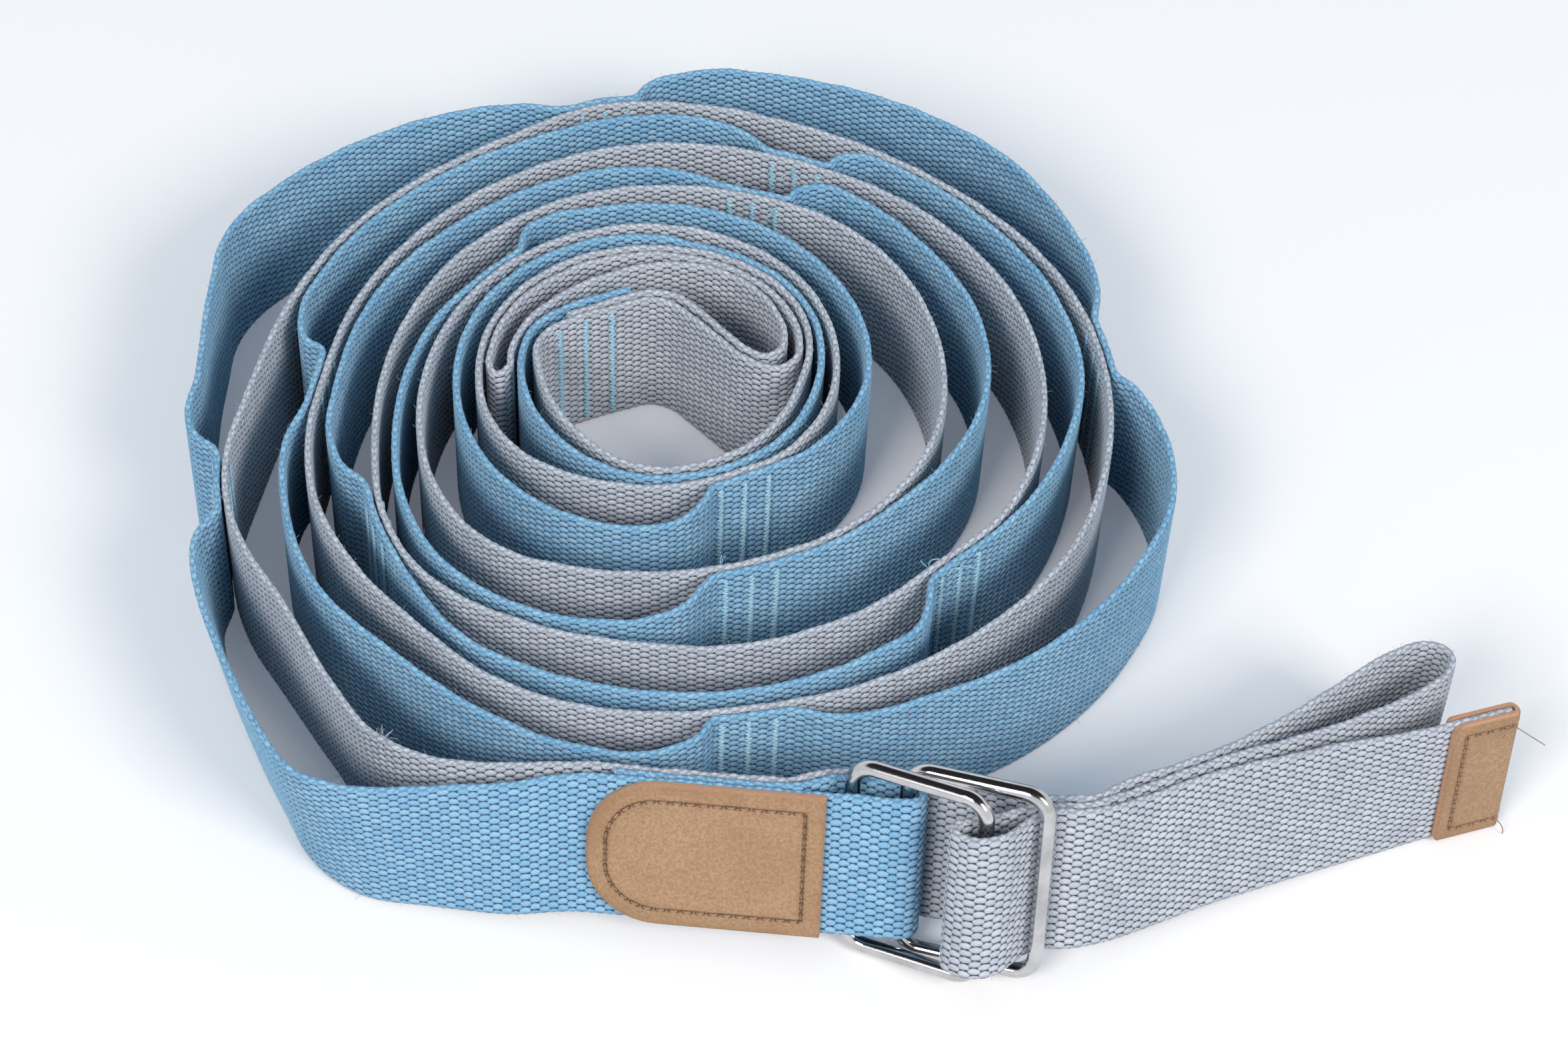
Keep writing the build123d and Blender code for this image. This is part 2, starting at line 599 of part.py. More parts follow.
# ---------------------------------------------------------------- end loop and tail
outward_start, outward_lean = buckle_station(run_out + joint_gap, outward_depth)
outward_points, outward_leans = run_stations(OUTWARD_RUN)
return_points, return_leans = run_stations(RETURN_RUN)
return_end, return_lean = buckle_station(run_out + joint_gap, return_depth)
end_loop = Course([outward_start] + outward_points + return_points + [return_end],
                  {0: buckle_heading(1, outward_slope), -1: buckle_heading(-1, -tail_slope)})
end_loop_leans = [outward_lean] + outward_leans + return_leans + [return_lean]
make_leaning_strap("end_loop", end_loop, end_loop_leans, step=4.0)

tail_start, tail_lean = buckle_station(run_out + tail_hinge_gap,
                                       tail_depth + tail_slope * tail_hinge_gap)
tail_points, tail_leans = run_stations(TAIL_RUN)
tip_way = (tail_points[-1] - tail_points[-2]).normalized()
tail_course = Course([tail_start] + tail_points,
                     {0: buckle_heading(1, tail_slope), -2: tip_way, -1: tip_way})
make_leaning_strap("tail", tail_course, [tail_lean] + tail_leans)

# the leather tip is folded over the tail's end
tail_end, tail_way = tail_course.at(tail_course.length)
tip_side, tip_ahead = tail_leans[-1][:2]
tip_shift = Vector(tip_side, tip_ahead, sqrt(webbing_width**2 - tip_side**2 - tip_ahead**2))
tip_up = tip_shift.normalized()
tip_front = tail_way.cross(tip_up).normalized()
tip_slot = webbing_thickness + 2 * thread_gap
tip_plane = Plane(Vector(tail_end.X, tail_end.Y, tail_leans[-1][2] + tip_shift.Z / 2),
                  x_dir=tip_up.cross(tip_front), z_dir=tip_front)
tip_fold = tip_leather + thread_gap
with BuildPart() as tip:
    with BuildSketch(tip_plane.offset(-tip_slot / 2 - tip_leather)):
        with Locations((tip_fold - tip_length / 2, 0)):
            Rectangle(tip_length, webbing_width)
        fillet(vertices().group_by(Axis.X)[0], radius=tip_corner)
    extrude(amount=tip_slot + 2 * tip_leather)
    upright_edges = tip.edges().filter_by(Axis(tip_plane.origin, tip_plane.y_dir))
    fillet(upright_edges.group_by(Axis(tip_plane.origin, tip_plane.x_dir))[-1], radius=tip_leather)
    with BuildSketch(tip_plane.offset(-tip_slot / 2)):
        with Locations((thread_gap - tip_length, 0)):
            Rectangle(2 * tip_length, webbing_width + 1)
    extrude(amount=tip_slot, mode=Mode.SUBTRACT)
save(tip.part, "tail_tip")

seam_left = tip_fold - tip_length + tip_seam_inset
seam_right = tip_fold - tip_seam_inset / 2
seam_top = webbing_width / 2 - tip_seam_inset
with BuildLine() as tip_seam:
    Polyline((seam_right, seam_top), (seam_left, seam_top),
             (seam_left, -seam_top), (seam_right, -seam_top))
tip_face = tip_slot / 2 + tip_leather + thread_gap
with BuildPart() as tip_thread:
    with BuildSketch(tip_plane.offset(tip_face), tip_plane.offset(-tip_face - stitch_relief)):
        with Locations(*stitch_locations(tip_seam.wire())):
            SlotOverall(stitch_length, stitch_width)
    extrude(amount=stitch_relief)
save(tip_thread.part, "tip_stitching")
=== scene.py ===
"""A rolled multi-loop stretching strap: its looks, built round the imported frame.

A grey base webbing is wound into a loose roll with a blue webbing sewn to its outer side in loops.
Every strap is rebuilt as real woven relief along the centre line of its CAD nodes, and gets its
zigzag sewing, frayed ends and loose fibres.  The leather patch and the leather tip are rebuilt with
their own edges, grain and stitches.  The buckle's rings keep their CAD meshes.
"""

from __future__ import annotations

import json
import logging
import math
import sys
from dataclasses import dataclass, field
from enum import Enum

import bpy
import numpy as np
from mathutils import Matrix, Vector
from mathutils.geometry import delaunay_2d_cdt

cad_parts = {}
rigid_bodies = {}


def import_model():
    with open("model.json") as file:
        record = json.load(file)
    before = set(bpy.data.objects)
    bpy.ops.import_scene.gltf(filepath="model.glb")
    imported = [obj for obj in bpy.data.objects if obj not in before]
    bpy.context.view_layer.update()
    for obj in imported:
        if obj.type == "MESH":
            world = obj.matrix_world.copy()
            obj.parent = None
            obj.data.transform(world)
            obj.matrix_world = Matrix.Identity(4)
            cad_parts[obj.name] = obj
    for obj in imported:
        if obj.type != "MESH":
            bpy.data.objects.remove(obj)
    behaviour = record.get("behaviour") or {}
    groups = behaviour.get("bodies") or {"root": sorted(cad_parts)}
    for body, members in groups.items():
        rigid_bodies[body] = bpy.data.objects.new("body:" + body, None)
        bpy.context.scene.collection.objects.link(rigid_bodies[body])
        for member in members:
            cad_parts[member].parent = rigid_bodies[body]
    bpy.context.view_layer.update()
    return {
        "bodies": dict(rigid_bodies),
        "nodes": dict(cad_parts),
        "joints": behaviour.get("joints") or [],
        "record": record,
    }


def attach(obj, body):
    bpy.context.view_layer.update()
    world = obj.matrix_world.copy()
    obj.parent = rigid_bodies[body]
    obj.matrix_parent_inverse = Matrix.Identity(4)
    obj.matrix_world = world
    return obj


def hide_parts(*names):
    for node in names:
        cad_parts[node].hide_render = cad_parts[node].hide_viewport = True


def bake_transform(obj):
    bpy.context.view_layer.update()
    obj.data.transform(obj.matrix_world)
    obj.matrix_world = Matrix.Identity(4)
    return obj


log = logging.getLogger("strap")

MM = 0.001
TURN = math.tau
TINY, TINY_SQUARE = 1e-12, 1e-18
WEAVE_MAP = "Weave"
BAKE_MAP = "OFBake"
ROLL_CENTRE = Vector((-41.8 * MM, 22.0 * MM, 0.0))
RIGHTWARD, UPWARD = np.array([1.0, 0.0, 0.0]), np.array([0.0, 0.0, 1.0])
TACK_REACH = 3.2 * MM  # how far from a webbing's middle the threads that cross it lie
TAIL_BEND = 5 * MM  # how far before its hinge the tail's piece starts
TUFT_AZIMUTH = -117.0  # where the frayed tuft is, in degrees about the roll

Array = np.ndarray
Colour = tuple[float, float, float, float]


class Slot(Enum):
    """The record's material slots."""

    GREY = "grey_webbing"
    BLUE = "blue_webbing"
    THREAD = "thread"
    LEATHER = "leather"
    LEATHER_THREAD = "leather_thread"


class Body(Enum):
    """The CAD bodies that the pieces ride on."""

    ROLL = "roll"
    FRONT_RING = "front_ring"
    REAR_RING = "rear_ring"
    TAIL = "tail"


Span = tuple[float, float, Body, tuple[str, ...]]


# -------------------------------------------------- small array tools
def unit(vectors: Array) -> Array:
    """Scale each row to length one."""
    return vectors / np.maximum(np.linalg.norm(vectors, axis=-1, keepdims=True), TINY)


def distances_along(points: Array) -> Array:
    """Return how far along the polyline each of its points lies."""
    steps = np.linalg.norm(np.diff(points, axis=0), axis=1)
    return np.concatenate([[0.0], np.cumsum(steps)])


def rows_at(wanted: Array, along: Array, rows: Array) -> Array:
    """Interpolate rows of numbers.

    Args:
        wanted: The distances wanted.
        along: The distance at which each row stands.
        rows: The rows.

    Returns:
        One row for each distance wanted.
    """
    return np.stack([np.interp(wanted, along, column) for column in rows.T], axis=1)


def resample(points: Array, count: int) -> Array:
    """Spread points evenly along a polyline.

    Args:
        points: The polyline, one row per point.
        count: How many points to return.

    Returns:
        The evenly spread points.
    """
    along = distances_along(points)
    return rows_at(np.linspace(0, along[-1], count), along, points)


def smoothed(values: Array, spread: float) -> Array:
    """Smooth rows with a bell-shaped weight, holding both ends.

    Args:
        values: Rows of numbers.
        spread: The weight's standard deviation, in rows.

    Returns:
        The smoothed rows.
    """
    reach = max(1, int(math.ceil(3 * spread)))
    weights = np.exp(-0.5 * (np.arange(-reach, reach + 1) / spread) ** 2)
    weights /= weights.sum()
    first, last = values[:1], values[-1:]
    before = 2 * first - values[reach:0:-1]
    after = 2 * last - values[-2:-reach - 2:-1]
    padded = np.concatenate([before, values, after])
    return np.stack([np.convolve(column, weights, mode="valid") for column in padded.T], axis=1)


def bell(values: Array, width: float) -> Array:
    """Return 1 where a value is 0, falling off to either side over a width."""
    return np.exp(-(values / width) ** 2)


def rounding(gap: Array, radius: float) -> Array:
    """Return how far a rounded rim drops at distances from its edge."""
    drop = radius - np.sqrt(np.clip(radius ** 2 - (radius - gap) ** 2, 0, None))
    return np.where(gap < radius, drop, 0)


def facings(points: Array, triangles: Array) -> Array:
    """Return the triangles' unscaled normals, or for flat points their signed double areas."""
    a, b, c = (points[triangles[:, corner]] for corner in range(3))
    return np.cross(b - a, c - a)


# -------------------------------------------------- reading the frame
def merged_mesh(node: bpy.types.Object) -> tuple[Array, Array]:
    """Read a CAD node's mesh with its doubled vertices joined.

    Args:
        node: The CAD node.

    Returns:
        Its vertices, and its triangles as rows of three indices.
    """
    mesh = node.data
    mesh.calc_loop_triangles()
    places = np.empty(len(mesh.vertices) * 3, np.float32)
    mesh.vertices.foreach_get("co", places)
    corners = np.empty(len(mesh.loop_triangles) * 3, np.int32)
    mesh.loop_triangles.foreach_get("vertices", corners)
    steps_per_metre = 1e6
    grid = np.round(places.reshape(-1, 3).astype(float) * steps_per_metre).astype(np.int64)
    unique, back = np.unique(grid, axis=0, return_inverse=True)
    return unique / steps_per_metre, back.reshape(-1)[corners].reshape(-1, 3)


def face_outline(points: Array, triangles: Array, towards: Array, least: float = 0.8) -> Array:
    """Find the outline of the faces that look one way.

    Args:
        points: The mesh's vertices.
        triangles: Its triangles.
        towards: The direction that the wanted faces look in.
        least: The smallest cosine that still counts.

    Returns:
        The points of the longest outline, in order.
    """
    facing = unit(facings(points, triangles)) @ towards > least
    edges: dict[tuple[int, int], int] = {}
    for triangle in triangles[facing]:
        for start, end in zip(triangle, np.roll(triangle, -1)):
            key = (min(start, end), max(start, end))
            edges[key] = edges.get(key, 0) + 1
    neighbours: dict[int, list[int]] = {}
    for (start, end), uses in edges.items():
        if uses == 1:
            neighbours.setdefault(start, []).append(end)
            neighbours.setdefault(end, []).append(start)
    best: list[int] = []
    left = set(neighbours)
    while left:
        here = min(left)
        loop = [here]
        left.discard(here)
        while True:
            ahead = [n for n in neighbours[here] if n in left]
            if not ahead:
                break
            here = ahead[0]
            left.discard(here)
            loop.append(here)
        if len(loop) > len(best):
            best = loop
    return points[best]


def edge_centre(outline: Array, thickness: float) -> Array:
    """Find the middle line of a strap's long thin edge face.

    Args:
        outline: The edge face's outline, in order.
        thickness: The strap's thickness, which is the length of the outline's two short sides.

    Returns:
        The middle line's points, from one short side to the other.
    """
    sides = np.roll(outline, -1, axis=0) - outline
    lengths = np.linalg.norm(sides, axis=1)
    ways = unit(sides)
    bend_in = np.einsum("ij,ij->i", ways, np.roll(ways, 1, axis=0))
    bend_out = np.einsum("ij,ij->i", ways, np.roll(ways, -1, axis=0))
    error = np.abs(lengths / thickness - 1) + np.maximum(bend_in, 0) + np.maximum(bend_out, 0)
    first, second = sorted(np.argsort(error)[:2])
    left = outline[first + 1:second + 1]
    right = np.roll(outline, -(second + 1), axis=0)[:len(outline) - len(left)][::-1]
    if len(right) > len(left):
        left, right = right, left
    start, step = right[:-1], np.diff(right, axis=0)
    reach = left[:, None, :] - start[None, :, :]
    square = np.maximum(np.einsum("jk,jk->j", step, step), TINY_SQUARE)
    share = np.clip(np.einsum("ijk,jk->ij", reach, step) / square, 0, 1)
    feet = start[None] + share[..., None] * step[None]
    nearest = np.linalg.norm(left[:, None] - feet, axis=2).argmin(axis=1)
    return (left + feet[np.arange(len(left)), nearest]) / 2


@dataclass
class Course:
    """A strap's course: evenly spaced points of its middle line and of its two edges.

    Attributes:
        low: The lower edge's middle line.
        high: The upper edge's middle line.
    """

    low: Array
    high: Array

    @classmethod
    def of_node(cls, node: bpy.types.Object, thickness: float, step: float) -> "Course":
        """Read the course of a CAD strap.

        Args:
            node: The CAD node, a strap that stands on edge or leans a little.
            thickness: Its thickness.
            step: The distance wanted between the course's points.

        Returns:
            The course.
        """
        points, triangles = merged_mesh(node)
        high = edge_centre(face_outline(points, triangles, UPWARD), thickness)
        low = edge_centre(face_outline(points, triangles, -UPWARD), thickness)
        straight = np.linalg.norm(high[0] - low[0]) + np.linalg.norm(high[-1] - low[-1])
        crossed = np.linalg.norm(high[0] - low[-1]) + np.linalg.norm(high[-1] - low[0])
        if crossed < straight:
            low = low[::-1]
        count = max(4, int(round(distances_along(high)[-1] / step)) + 1)
        return cls(resample(low, count), resample(high, count))

    def reversed(self) -> "Course":
        """Return the same course run the other way."""
        return Course(self.low[::-1], self.high[::-1])

    @property
    def start(self) -> Array:
        """The middle of the course's first edge."""
        return (self.low[0] + self.high[0]) / 2

    @property
    def end(self) -> Array:
        """The middle of the course's last edge."""
        return (self.low[-1] + self.high[-1]) / 2

    def gap(self, point: Array) -> float:
        """How far a point is from the nearer end."""
        return min(np.linalg.norm(self.start - point), np.linalg.norm(self.end - point))

    def starts_nearer(self, point: Array) -> bool:
        """Say whether the course's start is nearer to a point than its end is."""
        return np.linalg.norm(self.start - point) <= np.linalg.norm(self.end - point)


@dataclass
class Strap:
    """One long webbing, chained from the courses of its CAD nodes.

    Attributes:
        nodes: The names of its nodes, in order.
        thickness: The webbing's thickness.
        fine: How much the line is smoothed where its nodes are drawn with arcs.
        coarse: How much where its nodes are lofted from flat facets.
        step: The distance between the line's points.
        change: How softly the one smoothing turns into the other, in points.
        lofted: The nodes that are lofted from flat facets.
        low: The lower edge's points.
        high: The upper edge's points.
        ends: Where each node starts and ends along the strap.
    """

    nodes: list[str]
    thickness: float = 1.8 * MM
    fine: float = 0.8 * MM
    coarse: float = 2.4 * MM
    step: float = 0.4 * MM
    change: float = 8.0
    lofted: tuple[str, ...] = ("base_14", "loop_14", "end_loop", "tail")
    low: Array = field(init=False)
    high: Array = field(init=False)
    ends: dict[str, tuple[float, float]] = field(init=False, default_factory=dict)

    def read(self, frame: dict) -> None:
        """Chain the nodes' courses, starting at the first node's free end.

        Args:
            frame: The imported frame.
        """
        lows, highs, soft, marks = [], [], [], []
        courses = [Course.of_node(frame["nodes"][name], self.thickness, self.step)
                   for name in self.nodes]
        if courses[1].gap(courses[0].start) < courses[1].gap(courses[0].end):
            courses[0] = courses[0].reversed()
        here = courses[0].start
        for name, course in zip(self.nodes, courses):
            if not course.starts_nearer(here):
                course = course.reversed()
            skip = 1 if lows else 0
            lows.append(course.low[skip:])
            highs.append(course.high[skip:])
            soft.append(np.full(len(lows[-1]), name in self.lofted, float))
            here = course.end
            marks.append(sum(len(part) for part in lows) - 1)
        low, high, mask = np.concatenate(lows), np.concatenate(highs), np.concatenate(soft)
        mask = smoothed(mask[:, None], self.change)
        lines = []
        for line in (low, high):
            fine = smoothed(line, self.fine / self.step)
            coarse = smoothed(line, self.coarse / self.step)
            lines.append(fine + (coarse - fine) * mask)
        middle = distances_along((lines[0] + lines[1]) / 2)
        even = np.arange(0, middle[-1], self.step)
        self.low, self.high = (rows_at(even, middle, line) for line in lines)
        starts = [0.0] + [middle[mark] for mark in marks]
        self.ends = {name: (a, b) for name, a, b in zip(self.nodes, starts, starts[1:])}

    @property
    def length(self) -> float:
        """The strap's length."""
        return (len(self.low) - 1) * self.step

    def at(self, along: Array) -> tuple[Array, Array, Array, Array]:
        """Find the strap's frame at distances along it.

        Args:
            along: The distances.

        Returns:
            The middle points, the unit vectors along, across towards the upper edge, and out of
            the right-hand face.
        """
        even = np.arange(len(self.low)) * self.step
        low, high = (rows_at(along, even, line) for line in (self.low, self.high))
        slope = np.gradient((self.low + self.high) / 2, self.step, axis=0)
        way = unit(rows_at(along, even, slope))
        across = unit(high - low)
        outward = unit(np.cross(way, across))
        return (low + high) / 2, unit(np.cross(across, outward)), across, outward

    def nearest(self, point: Array) -> float:
        """Return the distance along the strap of the place nearest to a point."""
        middle = (self.low + self.high) / 2
        return float(np.linalg.norm(middle - point, axis=1).argmin() * self.step)


# -------------------------------------------------- node graph helpers
@dataclass
class Graph:
    """A short way to write a node tree.

    Attributes:
        tree: The node tree that is being written.
    """

    tree: bpy.types.NodeTree

    def node(self, kind: str, values: dict | None = None, **settings: object) -> bpy.types.Node:
        """Add a node.

        Args:
            kind: Its kind.
            values: What its inputs get, by name or number: outputs to link, or plain values.
            settings: Its properties.

        Returns:
            The node.
        """
        made = self.tree.nodes.new(kind)
        for name, value in settings.items():
            setattr(made, name, value)
        self.fill(made, values or {})
        return made

    def fill(self, node: bpy.types.Node, values: dict) -> None:
        """Feed some of a node's inputs.

        Args:
            node: The node.
            values: What they get, by name or number: outputs to link, or plain values.
        """
        for key, value in values.items():
            if isinstance(value, bpy.types.NodeSocket):
                self.tree.links.new(value, node.inputs[key])
            else:
                node.inputs[key].default_value = value

    def math(self, operation: str, *values: object, clamp: bool = False) -> bpy.types.NodeSocket:
        """Return a math node's output; clamp keeps it between 0 and 1."""
        return self.node("ShaderNodeMath", dict(enumerate(values)), operation=operation,
                         use_clamp=clamp).outputs[0]

    def add(self, first: object, second: object) -> bpy.types.NodeSocket:
        """Return first + second."""
        return self.math("ADD", first, second)

    def sub(self, first: object, second: object) -> bpy.types.NodeSocket:
        """Return first - second."""
        return self.math("SUBTRACT", first, second)

    def mul(self, first: object, second: object) -> bpy.types.NodeSocket:
        """Return first * second."""
        return self.math("MULTIPLY", first, second)

    def mad(self, first: object, second: object, third: object) -> bpy.types.NodeSocket:
        """Return first * second + third."""
        return self.math("MULTIPLY_ADD", first, second, third)

    def parts(self, vector: object) -> list[bpy.types.NodeSocket]:
        """Return a vector's three numbers."""
        return list(self.node("ShaderNodeSeparateXYZ", {0: vector}).outputs)

    def vector(self, x: object, y: object, z: object) -> bpy.types.NodeSocket:
        """Return a vector of three numbers."""
        return self.node("ShaderNodeCombineXYZ", {0: x, 1: y, 2: z}).outputs[0]

    def ramp(self, value: object, low: float, high: float) -> bpy.types.NodeSocket:
        """Map a value from between two limits to 0 and 1, easing in and out.

        Args:
            value: The value.
            low: What gives 0.
            high: What gives 1.

        Returns:
            The mapped value.
        """
        return self.node("ShaderNodeMapRange", {"Value": value, "From Min": low, "From Max": high},
                         clamp=True, interpolation_type="SMOOTHSTEP").outputs["Result"]

    def mix(self, factor: object, first: object, second: object) -> bpy.types.NodeSocket:
        """Return the mix of two colours, with so much of the second."""
        return self.node("ShaderNodeMix", {"Factor": factor, 6: first, 7: second},
                         data_type="RGBA").outputs[2]

    def noise(self, place: object, scale: object, detail: float) -> bpy.types.NodeSocket:
        """Return a noise texture's value."""
        return self.node("ShaderNodeTexNoise",
                         {"Vector": place, "Scale": scale, "Detail": detail}).outputs["Fac"]

    def bump(self, height: object, depth: float) -> bpy.types.NodeSocket:
        """Return the normal of a height of 0 to 1 that stands so many metres proud at 1."""
        return self.node("ShaderNodeBump",
                         {"Strength": 1.0, "Distance": depth, "Height": height}).outputs[0]

    def mask(self, name: str) -> bpy.types.NodeSocket:
        """Return a mask that the mesh carries."""
        return self.node("ShaderNodeAttribute", attribute_name=name).outputs["Fac"]

    def shown(self) -> bpy.types.NodeSocket:
        """Give 1 to what the camera sees straight, mirrored or through glass, and 0 to light.

        Returns:
            The mask.
        """
        ray = self.node("ShaderNodeLightPath").outputs
        seen = self.math("MAXIMUM", ray["Is Camera Ray"], ray["Is Glossy Ray"])
        return self.math("MAXIMUM", seen, ray["Is Transmission Ray"])

    def use(self, group: bpy.types.NodeTree, **values: object) -> bpy.types.bpy_prop_collection:
        """Place a node group, feed its inputs by name and return its outputs."""
        named = {name.capitalize(): value for name, value in values.items()}
        return self.node("ShaderNodeGroup", named, node_tree=group).outputs


def new_group(name: str, inputs: dict[str, object],
              outputs: tuple[str, ...]) -> tuple[Graph, dict, bpy.types.Node]:
    """Start a shader node group.

    Args:
        name: The group's name.
        inputs: Its inputs, each with a default number, or None for a vector.
        outputs: The names of its outputs, which are all numbers.

    Returns:
        The group's graph, its inputs' sockets by name, and the node that its results go to.
    """
    tree = bpy.data.node_groups.new(name, "ShaderNodeTree")
    for label, value in inputs.items():
        kind = "NodeSocketVector" if value is None else "NodeSocketFloat"
        socket = tree.interface.new_socket(label, in_out="INPUT", socket_type=kind)
        if value is not None:
            socket.default_value = value
    for label in outputs:
        tree.interface.new_socket(label, in_out="OUTPUT", socket_type="NodeSocketFloat")
    graph = Graph(tree)
    start, end = graph.node("NodeGroupInput"), graph.node("NodeGroupOutput")
    return graph, {socket.name: socket for socket in start.outputs if socket.name}, end


def new_material(name: str) -> tuple[bpy.types.Material, Graph, bpy.types.Node]:
    """Start a material with one Principled shader.

    Args:
        name: The material's name.

    Returns:
        The material, its graph and its shader.
    """
    material = bpy.data.materials.new(name)
    material.use_nodes = True
    tree = material.node_tree
    return material, Graph(tree), tree.nodes["Principled BSDF"]


def linear(red: int, green: int, blue: int) -> Colour:
    """Turn a display colour of 0 to 255 into a shader colour."""
    shares = (value / 255 for value in (red, green, blue))
    return (*(s / 12.92 if s <= 0.04045 else ((s + 0.055) / 1.055) ** 2.4 for s in shares), 1.0)


# -------------------------------------------------- the weave's own rule
@dataclass(frozen=True)
class Weave:
    """The webbing's weave: lens-shaped floats in staggered rows, in millimetres.

    Attributes:
        length: One float's length along the strap.
        rows: How many rows of floats cross each face.
        swell: How far a float bulges past its row, as a share of the row.
        blunt: How quickly a float widens from its tips; 1 is a pure wave.
        tip: How high a float's tips stand, as a share of its crown.
        rise: How quickly a float rises from its tips; 1 is a straight slope.
        face: The width of the flat face.
        edge: The rounded edge's radius.
        step: The distance between the mesh's rings.
        ply: The distance between a yarn's plies.
        ply_lean: How far the plies slant.
        ply_step: How far the plies are out of step from row to row.
    """

    length: float = 4.26
    rows: int = 37
    swell: float = 0.40
    blunt: float = 0.72
    tip: float = 0.15
    rise: float = 0.65
    face: float = 36.2
    edge: float = 0.86
    step: float = 0.71
    ply: float = 0.93
    ply_lean: float = 1.25
    ply_step: float = 0.41

    @property
    def row(self) -> float:
        """The distance between rows."""
        return self.face / self.rows

    def relief(self, along: Array, across: Array) -> Array:
        """Find the floats' height.

        Args:
            along: Distances along the strap, in millimetres.
            across: Distances across its face from the middle, in millimetres.

        Returns:
            Heights from 0 in the gaps to 1 on the crowns.
        """
        wave = np.cos(TURN * along / self.length)
        wave = np.sign(wave) * np.abs(wave) ** self.blunt
        rows = across / self.row
        nearest = np.round(rows)
        swell = (1 - 2 * np.mod(nearest, 2)) * wave
        gap = np.abs(rows - nearest)
        half = 0.5 + self.swell * swell
        inside = gap <= half
        share = np.where(inside, gap / half, (1 - gap) / (1 - half))
        swell = np.where(inside, swell, -swell)
        crown = np.sqrt(np.clip(1 - share ** 2, 0, 1))
        lift = np.clip(0.5 + 0.5 * swell, 0, 1) ** self.rise
        return crown * (self.tip + (1 - self.tip) * lift)

    def group(self) -> bpy.types.NodeTree:
        """Build the weave's node group, which follows the same rule as the mesh and adds the yarn.

        Returns:
            The group: from the strap's own coordinates it gives height, a mask for painted shade in
                the gaps, and tone with painted highlights along the plies.
        """
        graph, given, result = new_group(
            "Webbing weave", {"Place": None, "Twist": 1.0, "Fuzz": 0.5}, ("Height", "Gap_shade", "Tone_and_highlight"))
        true_along, across, _ = graph.parts(given["Place"])
        drift = graph.noise(given["Place"], 0.35, 3.0)
        along = graph.mad(graph.sub(drift, 0.5), 1.3, true_along)
        wobble = graph.noise(graph.vector(true_along, across, 7.0), 0.6, 2.0)
        rows = graph.math("DIVIDE", graph.mad(graph.sub(wobble, 0.5), 0.30, across), self.row)
        nearest = graph.math("ROUND", rows)
        wave = graph.math("COSINE", graph.mul(along, TURN / self.length))
        wave = graph.mul(graph.math("SIGN", wave),
                         graph.math("POWER", graph.math("ABSOLUTE", wave), self.blunt))
        way = graph.mad(graph.math("FLOORED_MODULO", nearest, 2.0), -2.0, 1.0)
        swell = graph.mul(way, wave)
        half = graph.mad(swell, self.swell, 0.5)
        gap = graph.math("ABSOLUTE", graph.sub(rows, nearest))
        outside = graph.math("GREATER_THAN", gap, half)
        near = graph.math("DIVIDE", gap, half)
        far = graph.math("DIVIDE", graph.sub(1.0, gap), graph.sub(1.0, half))
        share = graph.add(graph.mul(near, graph.sub(1.0, outside)), graph.mul(far, outside))
        swell = graph.mul(swell, graph.mad(outside, -2.0, 1.0))
        square = graph.math("POWER", share, 2.0)
        crown = graph.math("SQRT", graph.math("SUBTRACT", 1.0, square, clamp=True))
        lift = graph.math("MULTIPLY_ADD", swell, 0.5, 0.5, clamp=True)
        lift = graph.math("POWER", lift, self.rise)
        floats = graph.mul(crown, graph.mad(lift, 1 - self.tip, self.tip))
        # the slanting plies of each yarn, out of step from row to row; they shape the bump, and
        # through the tone they paint highlights along the plies
        beside = graph.math("SIGN", graph.sub(rows, nearest))
        row_own = graph.add(nearest, graph.mul(outside, beside))
        lean = graph.mad(row_own, self.ply_step, graph.mad(across, self.ply_lean, along))
        ply = graph.math("SINE", graph.mul(lean, TURN / self.ply))
        ply = graph.mul(graph.mul(ply, 0.5), given["Twist"])
        stretched = graph.vector(graph.mul(along, 2.2), graph.mul(across, 7.0), 0.0)
        fibres = graph.noise(stretched, 1.6, 3.0)
        detail = graph.add(graph.mul(ply, 0.30), graph.mul(graph.sub(fibres, 0.5), given["Fuzz"]))
        # the selvage: slanting loops laid round the edge
        border = self.face / 2
        aside = graph.math("ABSOLUTE", across)
        edge = graph.mul(graph.ramp(aside, border - 0.35, border + 0.35), 0.55)
        loops = graph.mad(graph.math("ABSOLUTE", graph.sub(aside, border + 1.35)), 0.9, true_along)
        loops = graph.math("COSINE", graph.mul(loops, TURN / (self.length / 2)))
        loops = graph.math("POWER", graph.mad(loops, 0.5, 0.5), 0.6)
        flat = graph.sub(1.0, edge)
        surface = graph.add(graph.mul(floats, flat), graph.mul(loops, edge))
        # painted shade in the gaps: at the floats' tips, between the rows and between the selvage's
        # loops
        tips = graph.mul(graph.sub(1.0, graph.ramp(swell, -0.68, 0.14)), flat)
        lines = graph.mul(graph.sub(1.0, graph.ramp(crown, 0.10, 0.95)), 0.44)
        low = graph.mul(graph.mul(graph.sub(1.0, graph.ramp(loops, 0.1, 0.7)), edge), 0.6)
        half_float = graph.math("ROUND", graph.math("DIVIDE", along, self.length / 2))
        own = graph.node("ShaderNodeTexWhiteNoise",
                         {"Vector": graph.vector(row_own, half_float, 3.0)},
                         noise_dimensions="3D").outputs["Value"]
        # the tone: random tone per float, plus painted highlights along the plies
        graph.fill(result, {"Height": graph.add(surface, detail),
                            "Gap_shade": graph.math("MAXIMUM", tips, graph.math("MAXIMUM", lines, low)),
                            "Tone_and_highlight": graph.add(own, graph.mul(detail, 1.9))})
        return graph.tree


